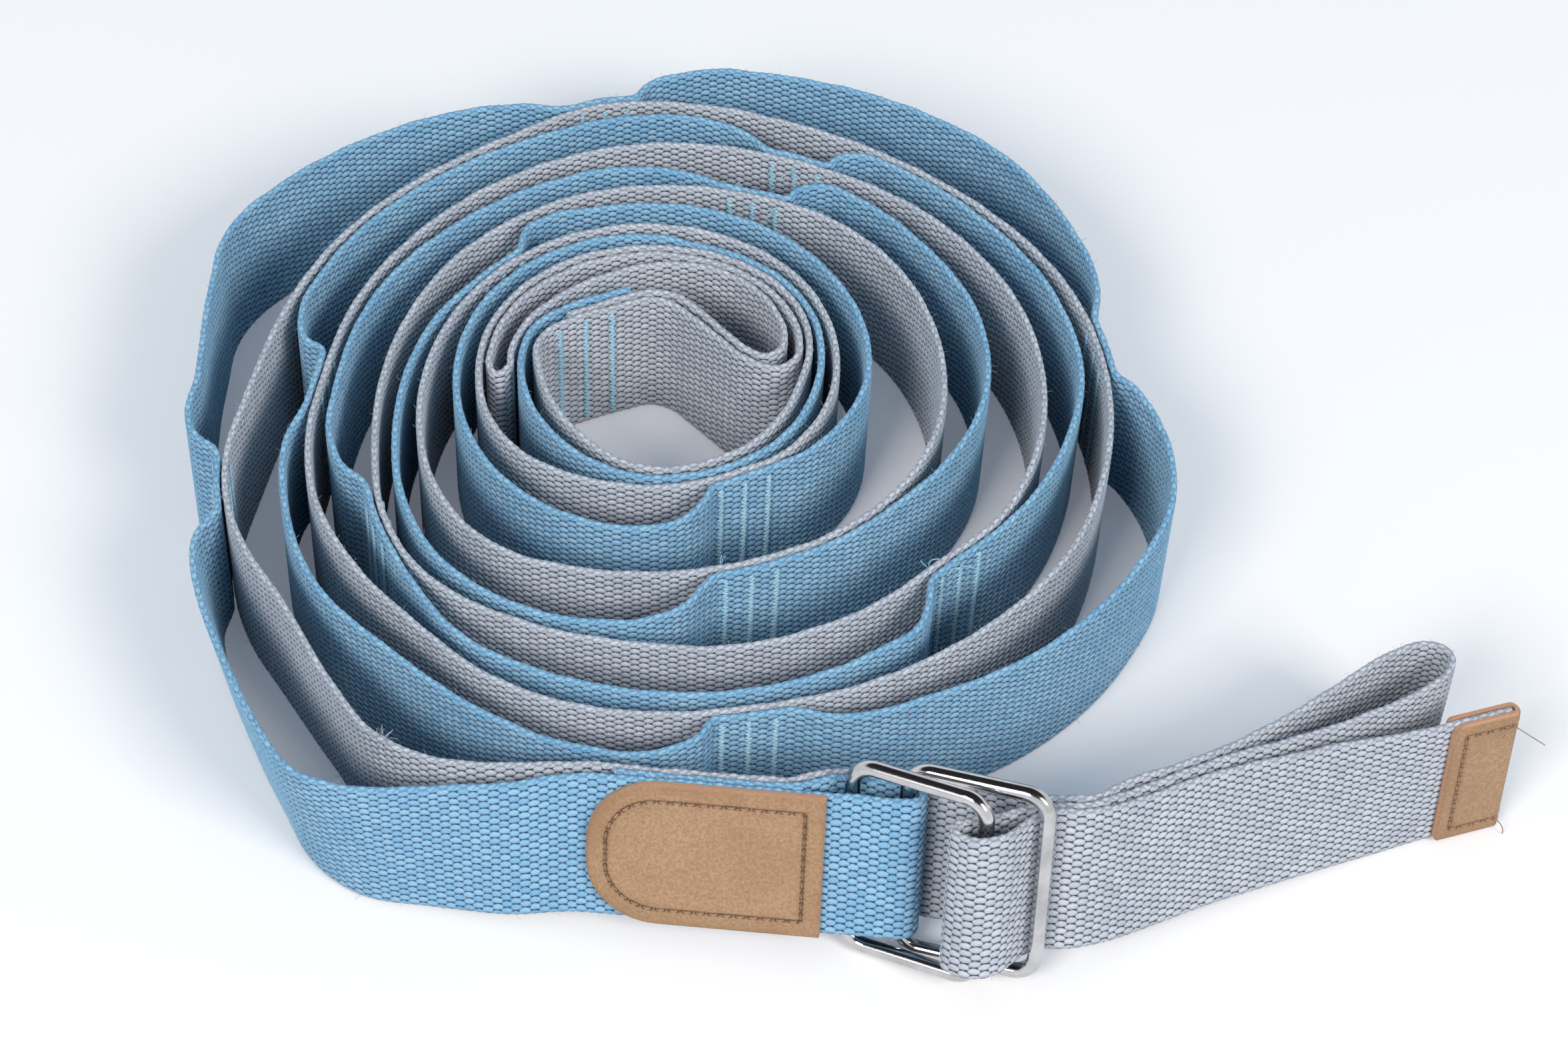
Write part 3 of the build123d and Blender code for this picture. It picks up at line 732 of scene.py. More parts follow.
# -------------------------------------------------- finishes
@dataclass(frozen=True)
class WebbingFinish:
    """Woven cotton webbing.

    Attributes:
        name: The material's name.
        yarn: The yarn's colour.
        pale: The colour of its paler fibres, with random paler tone and painted highlights along
            the plies.
        gap: The painted shade between the floats.
        relief: The floats' height in metres, over and above the mesh's own.
    """

    name: str
    yarn: Colour
    pale: Colour
    gap: Colour
    relief: float = 0.30 * MM

    def material(self, weave: bpy.types.NodeTree) -> bpy.types.Material:
        """Build the webbing's material.

        Args:
            weave: The weave's node group.

        Returns:
            The material.
        """
        material, graph, shader = new_material(self.name)
        place = graph.node("ShaderNodeUVMap", uv_map=WEAVE_MAP).outputs[0]
        woven = graph.use(weave, place=place, twist=1.0, fuzz=0.34)
        broad = graph.mad(graph.noise(place, 0.045, 3.0), 0.5, 0.06)
        # the tone mixes in the pale colour: random paler tone, plus painted highlights along the
        # plies
        tone = graph.math("ADD", graph.mul(woven["Tone_and_highlight"], 0.38), broad, clamp=True)
        yarn = graph.mix(tone, self.yarn, self.pale)
        # painted shade: the gap mask darkens the gaps between the floats with the dark gap colour
        graph.fill(shader, {"Base Color": graph.mix(graph.mul(woven["Gap_shade"], 0.97), yarn, self.gap),
                            "Roughness": graph.mad(woven["Gap_shade"], 0.12, 0.78),
                            "Normal": graph.bump(woven["Height"], self.relief),
                            "Specular IOR Level": 0.22, "Sheen Weight": 0.22,
                            "Sheen Roughness": 0.45})
        return material


@dataclass(frozen=True)
class ThreadFinish:
    """Twisted sewing thread.

    Attributes:
        name: The material's name.
        colour: The thread's colour.
        shade: The colour between its plies.
        twist: How many plies cross each metre.
    """

    name: str
    colour: Colour
    shade: Colour
    twist: float = 1500.0

    def material(self, plies: bpy.types.NodeTree) -> bpy.types.Material:
        """Build the thread's material.

        Args:
            plies: The node group that twists its plies.

        Returns:
            The material.
        """
        material, graph, shader = new_material(self.name)
        place = graph.node("ShaderNodeUVMap", uv_map=WEAVE_MAP).outputs[0]
        ply = graph.use(plies, place=place, twist=self.twist)["Ply"]
        graph.fill(shader, {"Base Color": graph.mix(ply, self.shade, self.colour),
                            "Roughness": graph.mad(ply, -0.2, 0.75),
                            "Normal": graph.bump(ply, 0.05 * MM), "Sheen Weight": 0.15})
        return material


def ply_group() -> bpy.types.NodeTree:
    """Build the group that twists a thread's plies round it.

    Returns:
        The group, which turns a place along and round the thread into a ply mask.
    """
    graph, given, result = new_group("Thread plies", {"Place": None, "Twist": 1500.0}, ("Ply",))
    along, round_it, _ = graph.parts(given["Place"])
    turn = graph.add(graph.mul(along, given["Twist"]), graph.mul(round_it, TURN))
    graph.fill(result, {"Ply": graph.mad(graph.math("SINE", turn), 0.5, 0.5)})
    return graph.tree


def grain_group() -> bpy.types.NodeTree:
    """Build the group for fine grain and mottled patches, used on leather and metal.

    Returns:
        The group, which gives a fine cell mask and a broad patch mask.
    """
    graph, given, result = new_group("Fine grain", {"Place": None, "Cells": 900.0, "Patches": 60.0},
                                     ("Cell", "Patch"))
    place = given["Place"]
    shifted = graph.node("ShaderNodeTexNoise", {"Vector": place, "Scale": 700.0}).outputs["Color"]
    moved = graph.node("ShaderNodeVectorMath", {0: shifted, 1: (0.0006, 0.0006, 0.0006), 2: place},
                       operation="MULTIPLY_ADD").outputs[0]
    cells = graph.node("ShaderNodeTexVoronoi", {"Vector": moved, "Scale": given["Cells"]},
                       feature="DISTANCE_TO_EDGE").outputs["Distance"]
    patch = graph.node("ShaderNodeTexNoise", {"Vector": place, "Scale": given["Patches"],
                                              "Detail": 6.0, "Roughness": 0.62}).outputs["Fac"]
    graph.fill(result, {"Cell": graph.ramp(cells, 0.0, 0.28),
                        "Patch": graph.ramp(patch, 0.32, 0.68)})
    return graph.tree


@dataclass(frozen=True)
class LeatherFinish:
    """Tan leather with a burnished rim and a reddish cut edge.

    Attributes:
        name: The material's name.
        tan: Its main colour.
        light: Its lighter mottles.
        burnish: The darker colour near its rim and seam.
        cut: The colour of its cut edge.
        hole: The painted shade inside its stitch holes.
    """

    name: str = "Tan leather"
    tan: Colour = linear(184, 148, 114)
    light: Colour = linear(206, 172, 136)
    burnish: Colour = linear(141, 101, 66)
    cut: Colour = linear(196, 142, 112)
    hole: Colour = linear(50, 32, 22)

    def material(self, grain: bpy.types.NodeTree) -> bpy.types.Material:
        """Build the leather's material.

        Args:
            grain: The fine grain's node group.

        Returns:
            The material.
        """
        material, graph, shader = new_material(self.name)
        place = graph.node("ShaderNodeTexCoord").outputs["Object"]
        fine = graph.use(grain, place=place, cells=2600.0, patches=60.0)
        coarse = graph.use(grain, place=place, cells=900.0, patches=1500.0)
        face = graph.mix(graph.mul(fine["Patch"], 0.45), self.tan, self.light)
        rim = graph.mul(graph.mask("burnish"), graph.mad(fine["Patch"], -0.55, 1.0))
        for darker in (graph.mul(graph.sub(1.0, coarse["Patch"]), 0.62), graph.mul(rim, 0.8),
                       graph.mul(graph.sub(1.0, fine["Cell"]), 0.20)):
            face = graph.mix(darker, face, self.burnish)
        raw = graph.mix(graph.mul(coarse["Patch"], 0.4), self.cut, self.light)
        face = graph.mix(graph.mask("cut"), face, raw)
        height = graph.add(graph.mul(fine["Cell"], 0.6), graph.mul(coarse["Cell"], 0.4))
        # painted shade inside the stitch holes
        face = graph.mix(graph.mul(graph.mask("hole"), 0.85), face, self.hole)
        graph.fill(shader, {"Base Color": face,
                            "Roughness": graph.mad(fine["Patch"], 0.14, 0.46),
                            "Normal": graph.bump(height, 0.035 * MM), "Specular IOR Level": 0.4})
        return material


@dataclass(frozen=True)
class NickelFinish:
    """Polished nickel plate with faint rubbing marks.

    Attributes:
        name: The material's name.
        bright: The colour of the clean plate.
        dull: The colour where it is rubbed.
    """

    name: str = "Polished nickel"
    bright: Colour = linear(205, 205, 207)
    dull: Colour = linear(150, 148, 146)

    def material(self, grain: bpy.types.NodeTree) -> bpy.types.Material:
        """Build the plate's material.

        Args:
            grain: The fine grain's node group.

        Returns:
            The material.
        """
        material, graph, shader = new_material(self.name)
        place = graph.node("ShaderNodeTexCoord").outputs["Object"]
        worn = graph.use(grain, place=place, cells=300.0, patches=120.0)["Patch"]
        marks = graph.noise(place, 2600.0, 2.0)
        rough = graph.add(graph.mad(worn, 0.06, 0.07), graph.mul(marks, 0.05))
        graph.fill(shader, {"Base Color": graph.mix(graph.mul(worn, 0.5), self.bright, self.dull),
                            "Roughness": rough,
                            "Normal": graph.bump(marks, 0.004 * MM), "Metallic": 1.0})
        return material


# -------------------------------------------------- mesh helpers
@dataclass
class MeshDraft:
    """A mesh in the making, gathered from grids and tubes.

    Attributes:
        name: The piece's name.
        points: Blocks of vertices.
        faces: Blocks of faces, each a list of vertex indices or an array of quads.
        normals: Blocks of vertex normals, one row per vertex.
        weave: Blocks of each vertex's own surface coordinates.
        marks: Named blocks of numbers per vertex.
        count: How many vertices it has so far.
    """

    name: str
    points: list[Array] = field(default_factory=list)
    faces: list[Array] = field(default_factory=list)
    normals: list[Array] = field(default_factory=list)
    weave: list[Array] = field(default_factory=list)
    marks: dict[str, list[Array]] = field(default_factory=dict)
    count: int = 0

    def add(self, points: Array, faces: Array, normals: Array, weave: Array,
            **marks: Array) -> None:
        """Add a block of vertices and the faces between them.

        Args:
            points: The vertices.
            faces: The faces, rows of indices into these vertices.
            normals: The vertices' normals.
            weave: The vertices' surface coordinates.
            marks: Numbers per vertex, by name.
        """
        self.points.append(points)
        self.faces.append(np.asarray(faces) + self.count)
        self.normals.append(normals)
        self.weave.append(weave)
        for name, values in marks.items():
            self.marks.setdefault(name, []).append(values)
        self.count += len(points)

    def object(self, bake: Array | None = None) -> bpy.types.Object:
        """Make the object.

        Args:
            bake: The baking map's coordinates, one row per face corner, if the piece has its own.

        Returns:
            The object, linked to the scene.
        """
        points = np.concatenate(self.points)
        mesh = bpy.data.meshes.new(self.name)
        mesh.vertices.add(len(points))
        mesh.vertices.foreach_set("co", points.astype(np.float32).ravel())
        corners = np.concatenate([block.ravel() for block in self.faces]).astype(np.int32)
        sizes = np.concatenate([np.full(len(block), block.shape[1]) for block in self.faces])
        mesh.loops.add(len(corners))
        mesh.loops.foreach_set("vertex_index", corners)
        mesh.polygons.add(len(sizes))
        starts = np.concatenate([[0], np.cumsum(sizes)[:-1]]).astype(np.int32)
        mesh.polygons.foreach_set("loop_start", starts)
        mesh.polygons.foreach_set("use_smooth", np.ones(len(sizes), bool))
        mesh.update(calc_edges=True)
        if bake is not None:
            layer = mesh.uv_layers.new(name=BAKE_MAP)
            layer.data.foreach_set("uv", bake.astype(np.float32).ravel())
        own = np.concatenate(self.weave)[corners]
        layer = mesh.uv_layers.new(name=WEAVE_MAP)
        layer.data.foreach_set("uv", own.astype(np.float32).ravel())
        for name, blocks in self.marks.items():
            made = mesh.attributes.new(name, "FLOAT", "POINT")
            made.data.foreach_set("value", np.concatenate(blocks).astype(np.float32))
        mesh.normals_split_custom_set_from_vertices(np.concatenate(self.normals).astype(np.float32))
        made = bpy.data.objects.new(self.name, mesh)
        bpy.context.scene.collection.objects.link(made)
        return made


def grid_faces(rows: int, columns: int, closed: bool = False) -> Array:
    """List the quads of a grid of vertices.

    Args:
        rows: Its rows.
        columns: Its columns.
        closed: Whether the last column joins the first.

    Returns:
        The quads.
    """
    row, column = np.meshgrid(np.arange(rows - 1), np.arange(columns if closed else columns - 1),
                              indexing="ij")
    after = (column + 1) % columns
    return np.stack([row * columns + column, (row + 1) * columns + column,
                     (row + 1) * columns + after, row * columns + after], axis=-1).reshape(-1, 4)


def grid_normals(grid: Array, closed: bool = False) -> Array:
    """Find the normals of a grid of points, which face the side its quads do.

    Args:
        grid: The points, by row and column.
        closed: Whether the last column joins the first.

    Returns:
        The normals.
    """
    down = np.gradient(grid, axis=0)
    if closed:
        round_about = np.roll(grid, -1, axis=1) - np.roll(grid, 1, axis=1)
    else:
        round_about = np.gradient(grid, axis=1)
    return unit(np.cross(down, round_about))


def add_tube(draft: MeshDraft, line: Array, radius: float | Array, sides: int = 5) -> None:
    """Add a closed thin tube that follows a line.

    Args:
        draft: The mesh that gets it.
        line: The line's points.
        radius: The tube's radius, one for all or one per point.
        sides: How many sides it has.
    """
    way = unit(np.gradient(line, axis=0))
    oblique = [0.31, 0.17, 0.93]
    start = np.cross(way[0], oblique)
    side = np.empty_like(line)
    side[0] = start / np.linalg.norm(start)
    for index in range(1, len(line)):
        turned = side[index - 1] - way[index] * (side[index - 1] @ way[index])
        side[index] = turned / max(np.linalg.norm(turned), TINY)
    other = np.cross(way, side)
    angle = np.arange(sides) * TURN / sides
    cosine, sine = np.cos(angle)[None, :, None], np.sin(angle)[None, :, None]
    out = side[:, None] * cosine + other[:, None] * sine
    reach = np.broadcast_to(np.asarray(radius, float), (len(line),))[:, None, None]
    grid = line[:, None] + out * reach
    along = np.repeat(distances_along(line)[:, None], sides, axis=1)
    turn = np.repeat((angle / TURN)[None], len(line), axis=0)
    faces = grid_faces(len(line), sides, closed=True)[:, ::-1]
    draft.add(grid.reshape(-1, 3), faces, out.reshape(-1, 3),
              np.stack([along, turn], -1).reshape(-1, 2))
    for ring, ahead, order in ((0, -way[0], 1), (-1, way[-1], -1)):
        cap = np.arange(sides)[None, ::order][:, ::-1]
        draft.add(grid[ring], cap, np.repeat(ahead[None], sides, axis=0),
                  np.stack([along[ring], turn[ring]], -1))


def islands(points: Array, triangles: Array) -> list[Array]:
    """Split a mesh into its separate solids.

    Args:
        points: The mesh's vertices.
        triangles: Its triangles.

    Returns:
        Each solid's vertices.
    """
    label = np.arange(len(points))
    while True:
        least = label[triangles].min(axis=1)
        merged = label.copy()
        np.minimum.at(merged, triangles.ravel(), np.repeat(least, 3))
        merged = merged[merged]
        if (merged == label).all():
            return [points[label == value] for value in np.unique(label)]
        label = merged


@dataclass
class Bar:
    """A CAD solid, measured.

    Attributes:
        middle: Its middle.
        axes: Its three axes, the longest first.
        sizes: Its size along each of them.
    """

    middle: Array
    axes: Array
    sizes: Array

    @classmethod
    def around(cls, points: Array) -> "Bar":
        """Measure a solid.

        Args:
            points: Its vertices.

        Returns:
            The measured solid.
        """
        rough = points.mean(axis=0)
        axes = np.linalg.svd(points - rough, full_matrices=False)[2]
        spans = (points - rough) @ axes.T
        low, high = spans.min(axis=0), spans.max(axis=0)
        order = np.argsort(high - low)[::-1]
        return cls(rough + ((low + high) / 2) @ axes, axes[order], (high - low)[order])

    def towards(self, axis: int, way: Array) -> Array:
        """Return one of its axes, turned to point a given way."""
        return self.axes[axis] * np.sign(self.axes[axis] @ way)


def bars_of(node: bpy.types.Object) -> tuple[list[Bar], Array]:
    """Measure every separate solid of a CAD node.

    Args:
        node: The CAD node.

    Returns:
        The solids, and the mean of their middles.
    """
    bars = [Bar.around(part) for part in islands(*merged_mesh(node))]
    return bars, np.mean([bar.middle for bar in bars], axis=0)


def dress(piece: bpy.types.Object, material: bpy.types.Material, slot: Slot, body: Body,
          *nodes: str) -> None:
    """Give a piece its material and body, and hide the CAD nodes that it stands for.

    Args:
        piece: The piece.
        material: Its material.
        slot: The record's slot for it; not used.
        body: The body that it rides on.
        nodes: The CAD nodes that it replaces.
    """
    piece.data.materials.append(material)
    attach(piece, body.value)
    if nodes:
        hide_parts(*nodes)
    log.info("%s: %d faces, rides %s", piece.name, len(piece.data.polygons), body.value)


def waver(along: Array, seed: int, wavelengths: tuple[float, ...]) -> Array:
    """Add a few sine waves with fixed phases.

    Args:
        along: The distances at which the waves are read.
        seed: What the phases start from.
        wavelengths: The waves' lengths.

    Returns:
        A smooth unevenness of about one in height.
    """
    phases = np.random.default_rng(seed).uniform(0, TURN, len(wavelengths))
    waves = [np.sin(TURN * along / length + phase) for length, phase in zip(wavelengths, phases)]
    return sum(waves) / math.sqrt(len(wavelengths))


# -------------------------------------------------- webbing
@dataclass
class Webbing:
    """One long webbing, built as a woven ribbon and cut into pieces at its sewn joins.

    Attributes:
        strap: The line that it follows.
        weave: The weave's rule.
        slot: The record's slot for it.
        material: Its finish.
        seed: What its unevenness starts from.
        tacks: Distances along it of the rows of stitches that press it flat.
        width: The webbing's width, in millimetres.
        depth: How deep the gaps between the floats are.
        crown: Half its thickness, at the floats' crowns.
        bulge: How far its rounded edge stands out, in millimetres.
        edge_points: How many points go round each edge.
        press: How deep a row of stitches presses it in.
        press_width: How far from a row it is pressed in.
        pinch: How much narrower its edge gets there, as a share.
        scallop: How much further each loop of the edge stands out, as a share.
        fatten: How much thicker each loop of the edge is, as a share.
        sway: How far the upper edge wavers, in millimetres.
        waves: The lengths of that wavering, in millimetres.
    """

    strap: Strap
    weave: Weave
    slot: Slot
    material: bpy.types.Material
    seed: int
    tacks: Array
    width: float = 38.0
    depth: float = 0.40 * MM
    crown: float = 0.90 * MM
    bulge: float = 0.9
    edge_points: int = 3
    press: float = 0.12 * MM
    press_width: float = 0.9 * MM
    pinch: float = 0.05
    scallop: float = 0.13
    fatten: float = 0.06
    sway: float = 0.16
    waves: tuple[float, ...] = (9.7, 17.0, 41.0)

    def profile(self) -> tuple[Array, Array, Array]:
        """Lay out the points round the ribbon's section.

        Returns:
            For each point: how far across it is in millimetres, how far out as a share of half
            the thickness, and its surface coordinate across.
        """
        weave = self.weave
        flat = np.linspace(-weave.face / 2, weave.face / 2, 2 * weave.rows + 1)
        turn = np.linspace(0, np.pi, self.edge_points + 2)[1:-1]
        side = weave.face / 2 + self.bulge * np.sin(turn)
        place = weave.face / 2 + weave.edge * (np.pi / 2 - np.abs(turn - np.pi / 2))
        across = np.concatenate([flat, side, flat[::-1], -side])
        out = np.concatenate([np.ones(len(flat)), np.cos(turn), -np.ones(len(flat)), -np.cos(turn)])
        return across, out, np.concatenate([flat, place, flat[::-1], -place])

    def rings(self) -> tuple[Array, Array, Array]:
        """Build every ring of the ribbon.

        Returns:
            The grid of points, their normals, and their surface coordinates in millimetres.
        """
        weave = self.weave
        along = np.arange(0, self.strap.length, weave.step * MM)
        middle, _, up, outward = self.strap.at(along)
        across, out, place = self.profile()
        far = along[:, None] / MM
        is_edge = np.abs(across) > weave.face / 2 + 1e-6
        height = weave.relief(far, across[None])
        gaps = along[:, None] - self.tacks[None]
        pressed = bell(gaps, self.press_width).max(axis=1)[:, None]
        face = self.crown - self.depth * (1 - height) - self.press * pressed
        loops = np.cos(TURN * far / (weave.length / 2))
        scallop = 1 + self.scallop * loops - self.pinch * pressed
        thick = np.where(is_edge[None], weave.edge * MM * (1 + self.fatten * loops), face)
        beyond = np.where(is_edge, np.abs(across) - weave.face / 2, 0)
        way = np.sign(across)
        wide = (way * (np.abs(across) - beyond))[None] + (way * beyond)[None] * scallop
        share = 0.5 + across / self.width
        uneven = self.sway * waver(far, self.seed, self.waves) * share[None]
        points = (middle[:, None] + up[:, None] * ((wide + uneven) * MM)[..., None]
                  + outward[:, None] * (out[None] * thick)[..., None])
        weave_map = np.stack(np.broadcast_arrays(far, place[None]), axis=-1)
        return points, grid_normals(points, closed=True), weave_map

    def cut(self, spans: dict[str, Span]) -> dict[str, bpy.types.Object]:
        """Cut the ribbon into pieces.

        Args:
            spans: For each piece's name, where it starts and ends along the strap, its body, and
                the CAD nodes that it replaces.

        Returns:
            The pieces by name.
        """
        points, normals, weave_map = self.rings()
        step, around = self.weave.step * MM, points.shape[1]
        made = {}
        for name, (start, end, body, nodes) in spans.items():
            first = int(round(start / step))
            last = min(int(round(end / step)), len(points) - 1)
            count = last - first + 1
            draft = MeshDraft(name)
            part = slice(first, last + 1)
            draft.add(points[part].reshape(-1, 3), grid_faces(count, around, closed=True),
                      normals[part].reshape(-1, 3), weave_map[part].reshape(-1, 2))
            # the baking map: the ribbon above a narrow strip that holds both of its ends
            row, column = np.meshgrid(np.arange(count - 1), np.arange(around), indexing="ij")
            long, turn = np.array([0, 1, 1, 0]), np.array([0, 0, 1, 1])
            bake = np.stack([0.01 + 0.98 * (row[..., None] + long) / (count - 1),
                             0.04 + 0.95 * (column[..., None] + turn) / around], axis=-1)
            bake = bake.reshape(-1, 2)
            for ring, ahead, order in ((first, first + 1, 1), (last, last - 1, -1)):
                facing = unit((points[ring] - points[ahead]).mean(axis=0)[None])
                draft.add(points[ring], np.arange(around)[None, ::order],
                          np.repeat(facing, around, axis=0), weave_map[ring])
                share = np.arange(around) / around
                corner = np.stack([0.25 + 0.2 * np.abs(share - 0.5) + (0.3 if order < 0 else 0),
                                   0.005 + 0.03 * (share > 0.5)], axis=-1)[::order]
                bake = np.concatenate([bake, corner])
            piece = draft.object(bake)
            dress(piece, self.material, self.slot, body, *nodes)
            made[name] = piece
        return made


# -------------------------------------------------- sewing
@dataclass
class Sewing:
    """Rows of zigzag stitches through the webbings.

    Attributes:
        thread: The thread's finish.
        radius: The thread's radius.
        swing: Half the zigzag's width.
        pitch: The distance between its turns.
        margin: How much shorter a row is than the CAD's bar.
        rise: How far each stitch arches off the webbing, in millimetres.
        sink: How far its ends sink in, in millimetres.
    """

    thread: bpy.types.Material
    radius: float = 0.28 * MM
    swing: float = 0.74 * MM
    pitch: float = 0.62 * MM
    margin: float = 1.4 * MM
    rise: float = 0.20
    sink: float = 0.08

    def row(self, draft: MeshDraft, bar: Bar, outward: Array, seed: int) -> None:
        """Sew one row where the CAD has a bar of thread.

        Args:
            draft: The mesh that gets the row.
            bar: The bar.
            outward: The direction out of the webbing.
            seed: What the row's unevenness starts from.
        """
        length = bar.sizes[0] - self.margin
        turns = int(length / self.pitch)
        random = np.random.default_rng(seed)
        index = np.arange(turns + 1)
        height = (index / turns - 0.5) * length
        sway = self.swing * np.where(index % 2, 1, -1) * random.uniform(0.75, 1.1, turns + 1)
        floor = bar.middle - outward * bar.sizes[2] / 2
        corner = floor + bar.towards(0, UPWARD) * height[:, None] + bar.axes[1] * sway[:, None]
        parts = []
        for first, second in zip(corner, corner[1:]):
            share = np.linspace(0, 1, 5)[:-1, None]
            rise = (self.rise * np.sin(np.pi * share) ** 0.7 - self.sink) * MM
            parts.append(first + (second - first) * share + outward * rise)
        add_tube(draft, np.concatenate(parts), self.radius)

    def sew(self, frame: dict, node: str, seed: int) -> None:
        """Sew all rows of one tack.

        Args:
            frame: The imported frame.
            node: The tack's CAD node.
            seed: What its unevenness starts from.
        """
        bars, centre = bars_of(frame["nodes"][node])
        draft = MeshDraft(f"{node}_stitches")
        for index, bar in enumerate(bars):
            self.row(draft, bar, bar.towards(2, bar.middle - centre), 100 * seed + index)
        dress(draft.object(), self.thread, Slot.THREAD, Body.ROLL, node)


@dataclass
class LeatherSewing:
    """Separate stitches along the seams of the leather pieces.

    Attributes:
        thread: The thread's finish.
        radius: The thread's radius.
        reach: How much of the CAD's slot a stitch takes up, as a share.
        rise: How far each stitch arches up, in millimetres.
        sink: How far its ends sink in, in millimetres.
    """

    thread: bpy.types.Material
    radius: float = 0.26 * MM
    reach: float = 0.84
    rise: float = 0.26
    sink: float = 0.34

    def sew(self, frame: dict, node: str, name: str, body: Body) -> Array:
        """Lay a sunk stitch where the CAD has a slot-shaped bar.

        Args:
            frame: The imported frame.
            node: The stitching's CAD node.
            name: The piece's name.
            body: The body that it rides on.

        Returns:
            The points where the stitches enter the leather.
        """
        bars, centre = bars_of(frame["nodes"][node])
        away = centre - np.array(ROLL_CENTRE)
        draft = MeshDraft(name)
        ends = []
        spread = np.array([bar.middle - centre for bar in bars])
        two_faced = np.linalg.matrix_rank(spread, tol=1.0 * MM) == 3
        share = np.linspace(-0.5, 0.5, 9)[:, None]
        arch = np.cos(np.pi * share)
        rise = (self.rise * arch ** 0.8 - self.sink) * MM
        for bar in bars:
            outward = bar.towards(2, bar.middle - centre if two_faced else away)
            floor = bar.middle - outward * (bar.sizes[2] / 2)
            line = floor + bar.axes[0] * share * bar.sizes[0] * self.reach + outward * rise
            add_tube(draft, line, self.radius * (0.75 + 0.25 * arch[:, 0]), 6)
            ends += [line[0], line[-1]]
        dress(draft.object(), self.thread, Slot.LEATHER_THREAD, body, node)
        return np.array(ends)


